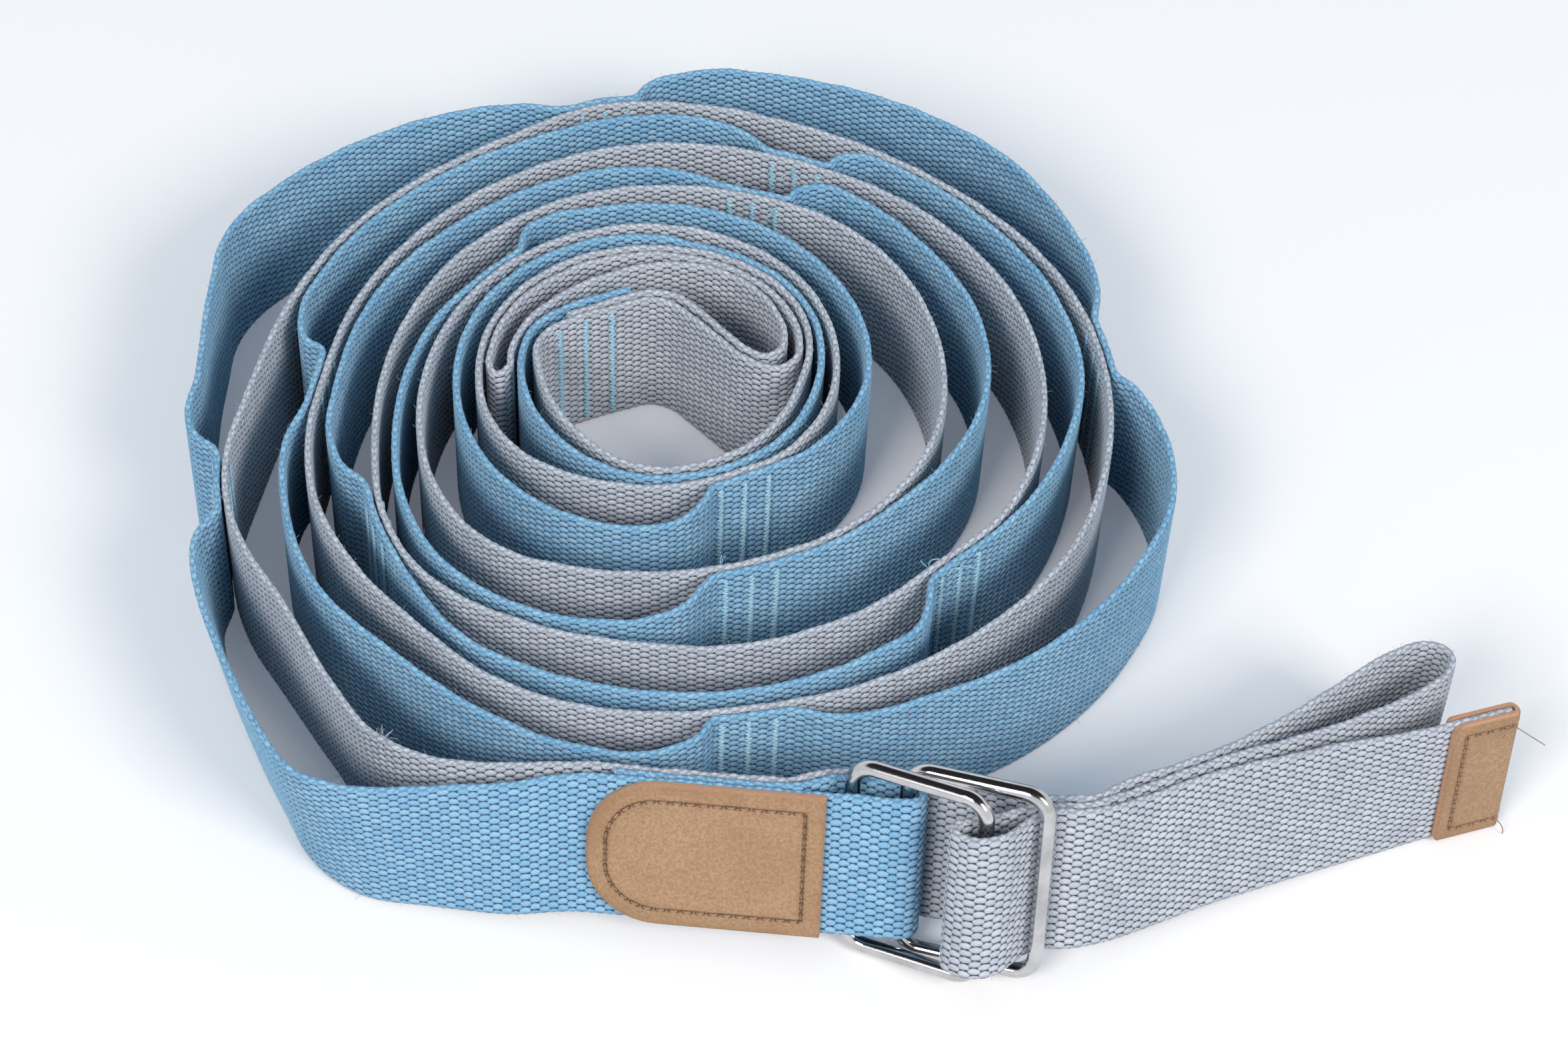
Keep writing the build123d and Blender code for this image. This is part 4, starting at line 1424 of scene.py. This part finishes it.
# -------------------------------------------------- loose threads
@dataclass
class LooseThreads:
    """Cut thread ends, frayed tufts and fine fuzz that stand off the webbing.

    Attributes:
        thread: The sewing thread's finish.
        grey: The grey yarn's finish.
        radius: A sewing thread's radius.
        hair: A stray fibre's radius.
        edge: How far from the middle a webbing's edge sheds fibres, in millimetres.
        spacing: The distance between two stray fibres.
        tuft_fibres: How many fibres the frayed tuft has.
    """

    thread: bpy.types.Material
    grey: bpy.types.Material
    radius: float = 0.13 * MM
    hair: float = 0.04 * MM
    edge: float = 18.7
    spacing: float = 2.3 * MM
    tuft_fibres: int = 22

    def strand(self, draft: MeshDraft, start: Array, way: Array, length: float, curl: float,
               radius: float, seed: int) -> None:
        """Let one strand wander off from its start.

        Args:
            draft: The mesh that gets it.
            start: Where it starts.
            way: The direction in which it sets off.
            length: Its length.
            curl: How far it turns at each step; 0 keeps it straight.
            radius: Its radius.
            seed: What its wandering starts from.
        """
        steps = 4 if length < 3 * MM else 12
        random = np.random.default_rng(seed)
        bend = random.normal(0, 1, 3)
        line = [np.asarray(start, float)]
        for turn in random.normal(0, 0.5, (steps, 3)):
            way = way + curl * (bend + turn)
            way = way / np.linalg.norm(way)
            line.append(line[-1] + way * length / steps)
            line[-1][2] = max(line[-1][2], radius)
        add_tube(draft, np.array(line), radius, 4 if radius > 2 * self.hair else 3)

    def tack_ends(self, frame: dict, picks: dict[int, tuple[int, ...]]) -> None:
        """Leave cut thread ends on some tacks.

        Args:
            frame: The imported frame.
            picks: For each tack's number, which of its rows end in a loose thread.
        """
        draft = MeshDraft("tack_loose_threads")
        for number, rows in picks.items():
            bars, centre = bars_of(frame["nodes"][f"tack_{number:02d}"])
            for row in rows:
                bar, seed = bars[row], 10 * number + row
                up, outward = bar.towards(0, UPWARD), bar.towards(2, bar.middle - centre)
                start = bar.middle + up * (bar.sizes[0] / 2 - 1 * MM)
                for way, length, own in ((outward + 0.8 * up, 4.5 * MM, seed),
                                         (outward - 0.6 * bar.axes[1], 3.2 * MM, seed + 7)):
                    self.strand(draft, start, way, length, 0.2, self.radius, own)
        dress(draft.object(), self.thread, Slot.THREAD, Body.ROLL)

    def tip_ends(self, thread: bpy.types.Material, holes: Array) -> None:
        """Leave two long thread ends where the seam on the tail's leather tip stops.

        Args:
            thread: The seam thread's finish.
            holes: The points where the seam's stitches enter the leather.
        """
        draft = MeshDraft("tip_loose_threads")
        for seed, lift, length in ((3, 1.0, 9.0), (9, -1.0, 6.0)):
            start = holes[np.argmax(holes @ np.array([1.0, -0.6, lift]))]
            for way, reach, curl, own in (((1.0, -0.5, 0.1), length * MM, 0.10, seed),
                                          ((-0.5, -0.5, 0.4), 4 * MM, 0.45, seed + 2)):
                self.strand(draft, start, np.array(way), reach, curl, self.radius, own)
        dress(draft.object(), thread, Slot.LEATHER_THREAD, Body.TAIL)

    def tuft(self, strap: Strap, along: float) -> None:
        """Fray the upper edge of the grey webbing at one place.

        Args:
            strap: The line that the webbing follows.
            along: How far along it the place is.
        """
        middle, way, up, outward = (part[0] for part in strap.at(np.array([along])))
        draft = MeshDraft("frayed_tuft")
        spread = np.random.default_rng(5).uniform(-1, 1, (self.tuft_fibres, 3))
        for seed, (ahead, side, rise) in enumerate(spread):
            start = middle + up * 18.6 * MM + way * ahead * 1.6 * MM + outward * side * 0.6 * MM
            self.strand(draft, start, up * (0.7 + 0.4 * rise) + outward * side + way * ahead * 0.8,
                        (2.6 + rise) * MM, 0.22, 0.07 * MM, seed)
        dress(draft.object(), self.grey, Slot.GREY, Body.ROLL)

    def fuzz(self, strap: Strap, name: str, span: tuple[float, float], material: bpy.types.Material,
             slot: Slot, body: Body) -> None:
        """Let fine fibres stand off both edges of a webbing.

        Args:
            strap: The line that the webbing follows.
            name: The piece's name.
            span: Where the fuzz starts and ends along the strap.
            material: The fibres' finish.
            slot: The record's slot for it.
            body: The body that it rides on.
        """
        random = np.random.default_rng(len(name))
        along = np.arange(*span, self.spacing)
        along = along + random.uniform(-1, 1, len(along)) * MM
        middle, way, up, outward = strap.at(np.clip(along, 0, strap.length))
        draft = MeshDraft(name)
        for index in range(len(along)):
            edge = 1 if index % 4 else -1
            lean, side = random.uniform(-1, 1, 2)
            start = (middle[index] + up[index] * edge * self.edge * MM
                     + outward[index] * side * 0.6 * MM)
            out = up[index] * edge * 0.8 + outward[index] * side + way[index] * lean
            self.strand(draft, start, out, random.uniform(0.7, 2.0) * MM, 0.25, self.hair, index)
        dress(draft.object(), material, slot, body)


# -------------------------------------------------- leather
def edge_gap(places: Array, outline: Array) -> Array:
    """Find how far inside a closed flat outline each place lies.

    Args:
        places: Flat points.
        outline: The outline's points, in order.

    Returns:
        The distances to the outline.
    """
    step = np.roll(outline, -1, axis=0) - outline
    reach = places[:, None] - outline[None]
    square = np.maximum((step ** 2).sum(-1), TINY_SQUARE)
    share = np.clip((reach * step[None]).sum(-1) / square, 0, 1)
    return np.linalg.norm(reach - share[..., None] * step[None], axis=-1).min(axis=1)


def hole_mask(points: Array, holes: Array) -> Array:
    """Mark the vertices round the places where stitches enter, which get painted shade.

    Args:
        points: The vertices.
        holes: The places.

    Returns:
        For each vertex 1 at a hole, falling to 0 round it.
    """
    radius, fade, block = 0.42 * MM, 0.30 * MM, 2000
    gaps = np.concatenate([np.linalg.norm(part[:, None] - holes[None], axis=-1).min(axis=1)
                           for part in np.array_split(points, max(1, len(points) // block))])
    return np.clip(1 - (gaps - radius) / fade, 0, 1)


def add_raw(draft: MeshDraft, points: Array, faces: Array, normals: Array, weave: Array) -> None:
    """Add a block of raw cut leather.

    Args:
        draft: The mesh that gets it.
        points: The vertices.
        faces: The faces, rows of indices into these vertices.
        normals: The vertices' normals.
        weave: The vertices' surface coordinates.
    """
    none = np.zeros(len(points))
    draft.add(points, faces, normals, weave, burnish=none, cut=none + 1, hole=none)


@dataclass
class LeatherPatch:
    """The D-shaped leather patch: rounded rim, pressed seam, mottled face.

    Attributes:
        leather: Its finish.
        seam: How far inside the rim the seam runs.
        rim: The rounded rim's radius.
        grid: The distance between the points of its middle.
        border: The distance between the points of its outline.
        insets: How far inside the outline its rows of points run, in millimetres.
        plain: How far inside the outline its middle starts.
        groove: The seam groove's depth and half width, in millimetres.
        puff: The height and half width of the swelling round the seam, in millimetres.
    """

    leather: bpy.types.Material
    seam: float = 4.3 * MM
    rim: float = 0.75 * MM
    grid: float = 0.8 * MM
    border: float = 0.4 * MM
    insets: tuple[float, ...] = (0.08, 0.25, 0.48, 0.75, 1.3, 2.2, 3.1, 3.6, 3.9, 4.1, 4.3, 4.5,
                                 4.7, 5.0, 5.5)
    plain: float = 6.0 * MM
    groove: tuple[float, float] = (0.42, 0.5)
    puff: tuple[float, float] = (0.14, 2.0)

    def build(self, frame: dict, holes: Array) -> None:
        """Build the patch over its CAD node.

        Args:
            frame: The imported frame.
            holes: The points where its stitches enter.
        """
        points, triangles = merged_mesh(frame["nodes"]["leather_patch"])
        shape = Bar.around(points)
        out = shape.towards(2, shape.middle - np.array(ROLL_CENTRE))
        long = shape.towards(0, RIGHTWARD)
        up = np.cross(out, long)
        outline = face_outline(points, triangles, out)
        flat = np.stack([(outline - shape.middle) @ long, (outline - shape.middle) @ up], axis=1)
        if np.cross(flat, np.roll(flat, -1, axis=0)).sum() < 0:
            flat = flat[::-1]
        closed = np.concatenate([flat, flat[:1]])
        far = distances_along(closed)
        border = rows_at(np.arange(0, far[-1] - self.border / 2, self.border), far, closed)
        tangent = unit(np.roll(border, -1, axis=0) - np.roll(border, 1, axis=0))
        inward = np.stack([-tangent[:, 1], tangent[:, 0]], axis=1)
        flats = [border]
        for inset in self.insets:
            moved = border + inward * inset * MM
            flats.append(moved[edge_gap(moved, border) > (inset - 0.03) * MM])
        across = np.arange(-30, 30, self.grid / MM) * MM
        middle = np.stack(np.meshgrid(across, across), axis=-1).reshape(-1, 2)
        inside = points_inside(middle, border) & (edge_gap(middle, border) > self.plain)
        flats.append(middle[inside])
        places = np.concatenate(flats)
        rim = [(i, (i + 1) % len(border)) for i in range(len(border))]
        made = delaunay_2d_cdt([Vector(place / MM) for place in places], rim, [], 1, 1e-5)
        places = np.array([list(v) for v in made[0]]) * MM
        faces = np.array([face for face in made[2] if len(face) == 3])
        turned = facings(places, faces) < 0
        faces[turned] = faces[turned][:, ::-1]
        gap = edge_gap(places, border)
        aside = gap - self.seam
        groove, puff = (height * bell(aside, width * MM)
                        for height, width in (self.groove, self.puff))
        x, y = places[:, 0] / MM, places[:, 1] / MM
        rough = 0.05 * (np.sin(x * 0.55 + 1.0) + np.sin(y * 0.7 + x * 0.2))
        relief = (puff - groove + rough * np.clip(gap / self.plain, 0, 1)) * MM
        height = shape.sizes[2] / 2 - rounding(gap, self.rim) + relief
        top = shape.middle + long * places[:, :1] + up * places[:, 1:] + out * height[:, None]
        normals = vertex_normals(top, faces)
        draft = MeshDraft("leather_patch_face")
        burnish = np.clip(0.9 * np.exp(-gap / (1.5 * MM)) + 0.55 * bell(aside, 1.2 * MM), 0, 1)
        draft.add(top, faces, normals, places / MM, burnish=burnish,
                  cut=np.clip(1 - gap / (0.3 * MM), 0, 1), hole=hole_mask(top, holes))
        side = np.stack([shape.middle + long * border[:, :1] + up * border[:, 1:] + out * level
                         for level in (shape.sizes[2] / 2 - self.rim, 0.0, -shape.sizes[2] / 2)])
        facing = -(long * inward[:, :1] + up * inward[:, 1:])
        add_raw(draft, side.reshape(-1, 3), grid_faces(3, len(border), closed=True),
                np.tile(facing, (3, 1)), np.tile(border / MM, (3, 1)))
        back = side[-1]
        add_raw(draft, back, np.arange(len(back))[None, ::-1],
                np.repeat(-out[None], len(back), axis=0), border / MM)
        dress(draft.object(), self.leather, Slot.LEATHER, Body.ROLL, "leather_patch")


def points_inside(places: Array, outline: Array) -> Array:
    """Say which flat places lie inside an outline.

    Args:
        places: Flat points.
        outline: The outline's points, in order.

    Returns:
        Whether each place lies inside.
    """
    inside = np.zeros(len(places), bool)
    for (x0, y0), (x1, y1) in zip(outline, np.roll(outline, -1, axis=0)):
        spans = (y0 > places[:, 1]) != (y1 > places[:, 1])
        if spans.any():
            crossing = x0 + (places[:, 1] - y0) * (x1 - x0) / (y1 - y0)
            inside ^= spans & (places[:, 0] < crossing)
    return inside


def vertex_normals(points: Array, faces: Array) -> Array:
    """Average the triangles' normals at each vertex.

    Args:
        points: The vertices.
        faces: The triangles.

    Returns:
        The vertices' normals.
    """
    flat = facings(points, faces)
    total = np.zeros_like(points)
    for column in range(3):
        np.add.at(total, faces[:, column], flat)
    return unit(total)


@dataclass
class LeatherTip:
    """The leather folded over the tail's end.

    Attributes:
        leather: Its finish.
        thickness: The leather's thickness.
        corner: The radius of the folded end's corners.
        seam: How far inside the rim the seam runs.
        grid: The distance between its points.
        fold: How far the fold's round end reaches.
        rim: The rounded rim's radius.
        tight: How much of the leather's thickness the fold takes up inside, as a share.
        square: How much of its length, from the open end on, the rounding of the corners spares.
        groove: The seam groove's depth and half width.
        puff: The height and half width of the swelling round the seam.
        sunk: How far its faces lie under the CAD's.
    """

    leather: bpy.types.Material
    thickness: float = 1.4 * MM
    corner: float = 2.5 * MM
    seam: float = 3.5 * MM
    grid: float = 0.4 * MM
    fold: float = 1.9 * MM
    rim: float = 0.5 * MM
    tight: float = 0.9
    square: float = 4 * MM
    groove: tuple[float, float] = (0.34 * MM, 0.5 * MM)
    puff: tuple[float, float] = (0.16 * MM, 1.8 * MM)
    sunk: float = 0.06 * MM

    def build(self, frame: dict, holes: Array) -> None:
        """Build the tip over its CAD node.

        Args:
            frame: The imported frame.
            holes: The points where its stitches enter.
        """
        points, _ = merged_mesh(frame["nodes"]["tail_tip"])
        tail, _ = merged_mesh(frame["nodes"]["tail"])
        shape = Bar.around(points)
        up, ahead = shape.towards(0, UPWARD), shape.towards(1, shape.middle - tail.mean(axis=0))
        out = np.cross(up, ahead)
        tall, length, thick = shape.sizes / 2
        bend = length - self.fold
        straight = np.arange(-length, bend, self.grid)
        turn = np.linspace(0, np.pi, 15)[1:-1]
        section = np.array([
            place for reach, half in ((self.fold, thick), (self.fold - self.thickness * self.tight,
                                                           self.thickness - thick))
            for place in ([(x, half) for x in straight]
                          + [(bend + reach * math.sin(a), half * math.cos(a)) for a in turn]
                          + [(x, -half) for x in straight[::-1]])])
        columns = len(section)
        is_outer = (np.arange(columns) < columns // 2)[None]
        levels = np.linspace(-0.94, 0.94, int(2 * tall / self.grid))
        levels = np.concatenate([[-1, -0.97], levels, [0.97, 1]])
        rows = []
        for level in levels * tall:
            moved = section.copy()
            over = abs(level) - (tall - self.corner)
            if over > 0:
                pull = self.corner - math.sqrt(max(self.corner ** 2 - over ** 2, 0))
                reach = (length - self.square - moved[:, 0]) / (2 * length - self.square)
                reach = np.clip(reach, 0, 1)
                moved[:, 0] += pull * reach
            rows.append(moved)
        flat = np.stack(rows)
        level = np.broadcast_to((levels * tall)[:, None], flat.shape[:2])
        gap = np.minimum(tall - np.abs(level), np.abs(flat[..., 0] + length))
        aside = np.minimum(tall - np.abs(level) - self.seam, flat[..., 0] + length - self.seam)
        groove, puff = (height * bell(aside, width) for height, width in (self.groove, self.puff))
        puff = puff * np.clip(gap / (1.5 * MM), 0, 1)
        push = np.where(is_outer, -rounding(gap, self.rim) - groove + puff - self.sunk, 0)
        away = unit(np.stack([np.clip(flat[..., 0] - bend, 0, None), flat[..., 1]], axis=-1))
        flat = flat + away * push[..., None]
        grid = shape.middle + ahead * flat[..., :1] + out * flat[..., 1:] + up * level[..., None]
        burnish = np.clip(0.8 * np.exp(-gap / (1.3 * MM)) + 0.5 * bell(aside, 1.1 * MM), 0, 1)
        burnish = np.where(is_outer, burnish, 0.2)
        cut = np.where(is_outer, np.clip(1 - gap / (0.35 * MM), 0, 1), 1.0)
        points = grid.reshape(-1, 3)
        draft = MeshDraft("leather_tip_fold")
        faces = grid_faces(len(levels), columns, closed=True)
        normals = grid_normals(grid, closed=True)
        if normals[len(levels) // 2, 3] @ out < 0:
            normals, faces = -normals, faces[:, ::-1]
        across = np.broadcast_to(np.arange(columns) * self.grid / MM, level.shape)
        place = np.stack([across, level / MM], -1)
        draft.add(points, faces, normals.reshape(-1, 3), place.reshape(-1, 2),
                  burnish=burnish.ravel(), cut=cut.ravel(), hole=hole_mask(points, holes))
        for ring, way in ((0, -up), (-1, up)):
            outer = np.arange(columns // 2 - 1)
            inner = columns - 1 - outer
            cap = np.stack([outer, outer + 1, inner - 1, inner], axis=1)
            if facings(grid[ring], cap[:1])[0] @ way < 0:
                cap = cap[:, ::-1]
            add_raw(draft, grid[ring], cap, np.repeat(way[None], columns, axis=0), place[ring])
        dress(draft.object(), self.leather, Slot.LEATHER, Body.TAIL, "tail_tip")


# -------------------------------------------------- studio
@dataclass
class Studio:
    """A pale floor, soft lamps and the camera.

    Attributes:
        lens: The camera's focal length, in millimetres.
        camera_place: Where the camera stands.
        pitch: How far it looks down, in degrees.
        heading: How far it is turned about the upright, in degrees.
        roll: How far it is tilted about its own line of sight, in degrees.
        lamps: Each soft lamp's place, by name.
        lamp_size: A lamp's side, in metres.
        lamp_power: A lamp's power, in watts.
        lamp_colour: A lamp's colour.
    """

    lens: float = 81.1
    camera_place: tuple[float, float, float] = (-0.0334, -0.5616, 0.655)
    pitch: float = 49.0
    heading: float = -2.29
    roll: float = 3.0
    lamps: dict[str, tuple[float, float, float]] = field(default_factory=lambda: {
        "Left lamp": (-1.15, -1.75, 1.75), "Right lamp": (1.5, -1.5, 1.75)})
    lamp_size: float = 1.0
    lamp_power: float = 38.0
    lamp_colour: tuple[float, float, float] = (1.0, 0.975, 0.94)

    def camera(self) -> None:
        """Set up the camera."""
        data = bpy.data.cameras.new("Camera")
        data.lens, data.sensor_width = self.lens, 36.0
        data.clip_start, data.clip_end = 0.01, 20.0
        made = bpy.data.objects.new("Camera", data)
        bpy.context.scene.collection.objects.link(made)
        turn = (Matrix.Rotation(math.radians(self.heading), 4, "Z")
                @ Matrix.Rotation(math.radians(90 - self.pitch), 4, "X")
                @ Matrix.Rotation(math.radians(self.roll), 4, "Z"))
        made.matrix_world = Matrix.Translation(self.camera_place) @ turn
        bpy.context.scene.camera = made

    def floor(self) -> None:
        """Lay the pale floor, which keeps its shadows."""
        bpy.ops.mesh.primitive_grid_add(x_subdivisions=8, y_subdivisions=8, size=6.0,
                                        location=(0, 0, -0.0002))
        floor = bpy.context.object
        floor.name = "studio_floor"
        material, graph, shader = new_material("Studio floor")
        cloud = graph.noise(graph.node("ShaderNodeTexCoord").outputs["Object"], 3.0, 2.0)
        seen = graph.shown()
        pale = graph.mix(cloud, linear(245, 240, 236), linear(248, 242, 237))
        graph.fill(shader, {"Base Color": graph.mix(seen, linear(172, 176, 184), pale),
                            "Roughness": 0.6, "Specular IOR Level": 0.15,
                            "Emission Color": linear(86, 90, 100), "Emission Strength": seen})
        floor.data.materials.append(material)

    def lights(self) -> None:
        """Hang the soft square lamps, which look at the roll."""
        for name, place in self.lamps.items():
            data = bpy.data.lights.new(name, "AREA")
            data.shape, data.size = "SQUARE", self.lamp_size
            data.energy, data.color = self.lamp_power, self.lamp_colour
            made = bpy.data.objects.new(name, data)
            bpy.context.scene.collection.objects.link(made)
            made.location = place
            made.rotation_mode = "QUATERNION"
            made.rotation_quaternion = (Vector(place) - ROLL_CENTRE).to_track_quat("Z", "Y")

    def world(self) -> None:
        """Fill the surroundings with pale cool light, and show white with a dark ceiling."""
        world = bpy.data.worlds.new("Studio")
        bpy.context.scene.world = world
        world.use_nodes = True
        graph = Graph(world.node_tree)
        seen = graph.shown()
        height = graph.parts(graph.node("ShaderNodeTexCoord").outputs["Generated"])[2]
        ceiling = graph.mix(graph.ramp(height, 0.50, 0.72), (1.0, 1.0, 1.0, 1.0),
                            (0.03, 0.03, 0.035, 1.0))
        graph.fill(world.node_tree.nodes["Background"],
                   {"Color": graph.mix(seen, (0.64, 0.82, 1.0, 1.0), ceiling),
                    "Strength": graph.mad(seen, 0.48, 0.50)})

    def build(self) -> None:
        """Set up the whole studio."""
        bpy.context.scene.view_settings.view_transform = "Standard"
        self.camera()
        self.floor()
        self.world()
        self.lights()


# -------------------------------------------------- the whole
@dataclass
class StretchStrap:
    """The whole strap, built sub-assembly by sub-assembly.

    Attributes:
        frame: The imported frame.
        weave: The weave's rule, the same for both webbings.
        spans: How many loops, base spans and tacks there are.
    """

    frame: dict
    weave: Weave = field(default_factory=Weave)
    spans: int = 14

    def finishes(self) -> None:
        """Build the shared groups and every finish."""
        weave, plies, grain = self.weave.group(), ply_group(), grain_group()
        self.grey = WebbingFinish("Grey webbing", linear(182, 186, 197), linear(224, 227, 234),
                                  linear(44, 47, 60)).material(weave)
        self.blue = WebbingFinish("Blue webbing", linear(110, 171, 212), linear(174, 218, 240),
                                  linear(8, 54, 108)).material(weave)
        self.thread, self.grey_yarn, self.blue_yarn, self.brown_thread = (
            ThreadFinish(name, linear(*colour), linear(*shade)).material(plies)
            for name, colour, shade in (("Turquoise thread", (184, 219, 232), (144, 192, 214)),
                                        ("Grey yarn", (214, 217, 224), (170, 174, 186)),
                                        ("Blue yarn", (176, 214, 236), (124, 176, 208)),
                                        ("Brown thread", (188, 148, 108), (120, 84, 56))))
        self.loose = LooseThreads(self.thread, self.grey_yarn)
        self.leather = LeatherFinish().material(grain)
        self.nickel = NickelFinish().material(grain)

    def numbered(self, stem: str) -> list[str]:
        """List the names of all the nodes that share a stem."""
        return [f"{stem}_{index:02d}" for index in range(1, self.spans + 1)]

    def webbing(self, plain: list[str], rest: list[str], slot: Slot,
                finish: bpy.types.Material, seed: int) -> tuple[Webbing, dict[str, Span]]:
        """Lay out one long webbing.

        Args:
            plain: Its first nodes, in order, each of which becomes a piece of its own.
            rest: Its other nodes, in order.
            slot: The record's slot for it.
            finish: Its finish.
            seed: What its unevenness starts from.

        Returns:
            The webbing, and the spans of the plain nodes' pieces.
        """
        strap = Strap(plain + rest)
        strap.read(self.frame)
        places = []
        for tack in self.numbered("tack"):
            for bar in bars_of(self.frame["nodes"][tack])[0]:
                place = strap.nearest(bar.middle)
                middle = strap.at(np.array([place]))[0][0]
                if np.linalg.norm(middle - bar.middle) < TACK_REACH:
                    places.append(place)
        made = Webbing(strap, self.weave, slot, finish, seed, np.array(sorted(places)))
        return made, {f"{name}_webbing": (*strap.ends[name], Body.ROLL, (name,)) for name in plain}

    def grey_webbing(self) -> None:
        """Build the grey base, from the hand grip to the tail's end."""
        webbing, spans = self.webbing(
            ["hand_grip", *self.numbered("base")[:-1]],
            ["base_14", "base_front", "end_loop", "buckle_wrap", "tail"], Slot.GREY, self.grey, 11)
        strap, ends = webbing.strap, webbing.strap.ends
        hinge = ends["tail"][0]
        bend_from, bend_to = hinge - TAIL_BEND, hinge + TAIL_BEND
        spans["base_run_webbing"] = (ends["base_14"][0], ends["end_loop"][1], Body.ROLL,
                                     ("base_14", "base_front", "end_loop"))
        spans["buckle_wrap_webbing"] = (ends["buckle_wrap"][0], bend_from, Body.ROLL,
                                        ("buckle_wrap",))
        spans["tail_webbing"] = (bend_from, strap.length, Body.TAIL, ("tail",))
        tail = webbing.cut(spans)["tail_webbing"]
        tail.parent = None
        tail.matrix_world = Matrix.Identity(4)
        around = strap.at(np.array([bend_from, bend_to]))[0]
        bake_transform(tail)
        self.loose.fuzz(strap, "grey_fuzz", (0.0, hinge - 8 * MM), self.grey_yarn, Slot.GREY,
                        Body.ROLL)
        self.loose.fuzz(strap, "tail_fuzz", (hinge + 8 * MM, strap.length - 18 * MM),
                        self.grey_yarn, Slot.GREY, Body.TAIL)
        corner = np.linspace(*ends["base_14"], 60)
        aside = strap.at(corner)[0] - np.array(ROLL_CENTRE)
        azimuth = np.degrees(np.arctan2(aside[:, 1], aside[:, 0]))
        self.loose.tuft(strap, corner[np.argmin(np.abs(azimuth - TUFT_AZIMUTH))])

    def blue_webbing(self) -> None:
        """Build the blue webbing, from its first loop to its fold round the rings."""
        webbing, spans = self.webbing(self.numbered("loop")[:-1],
                                      ["loop_14", "front_strap", "ring_fold"],
                                      Slot.BLUE, self.blue, 29)
        strap = webbing.strap
        spans["outer_loop_webbing"] = (strap.ends["loop_14"][0], strap.length, Body.ROLL,
                                       ("loop_14", "front_strap", "ring_fold"))
        webbing.cut(spans)
        self.loose.fuzz(strap, "blue_fuzz", (0.0, strap.length), self.blue_yarn, Slot.BLUE,
                        Body.ROLL)

    def sewing(self) -> None:
        """Sew every tack."""
        sewing = Sewing(self.thread)
        for index, tack in enumerate(self.numbered("tack"), 1):
            sewing.sew(self.frame, tack, index)
        self.loose.tack_ends(self.frame,
                             {5: (0,), 6: (1, 4), 8: (0, 3), 9: (2,), 13: (2,), 2: (4,)})

    def leather_work(self) -> None:
        """Build the patch and the tip with their stitches."""
        sewing = LeatherSewing(self.brown_thread)
        holes = sewing.sew(self.frame, "patch_stitching", "leather_patch_stitches", Body.ROLL)
        LeatherPatch(self.leather).build(self.frame, holes)
        holes = sewing.sew(self.frame, "tip_stitching", "leather_tip_stitches", Body.TAIL)
        LeatherTip(self.leather).build(self.frame, holes)
        self.loose.tip_ends(self.brown_thread, holes)

    def rings(self) -> None:
        """Finish the two rings, which keep their CAD meshes."""
        for body in (Body.FRONT_RING, Body.REAR_RING):
            ring = self.frame["nodes"][body.value]
            ring.data.materials.clear()
            ring.data.materials.append(self.nickel)
            log.info("%s: CAD mesh kept, nickel finish", body.value)

    def build(self) -> None:
        """Build everything in order."""
        self.finishes()
        self.rings()
        self.grey_webbing()
        self.blue_webbing()
        self.sewing()
        self.leather_work()


def main() -> None:
    """Load the frame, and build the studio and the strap."""
    logging.basicConfig(level=logging.INFO, format="%(message)s", stream=sys.stdout)
    for old in list(bpy.data.objects):
        bpy.data.objects.remove(old, do_unlink=True)
    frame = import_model()
    Studio().build()
    StretchStrap(frame).build()


if __name__ == "__main__":
    main()
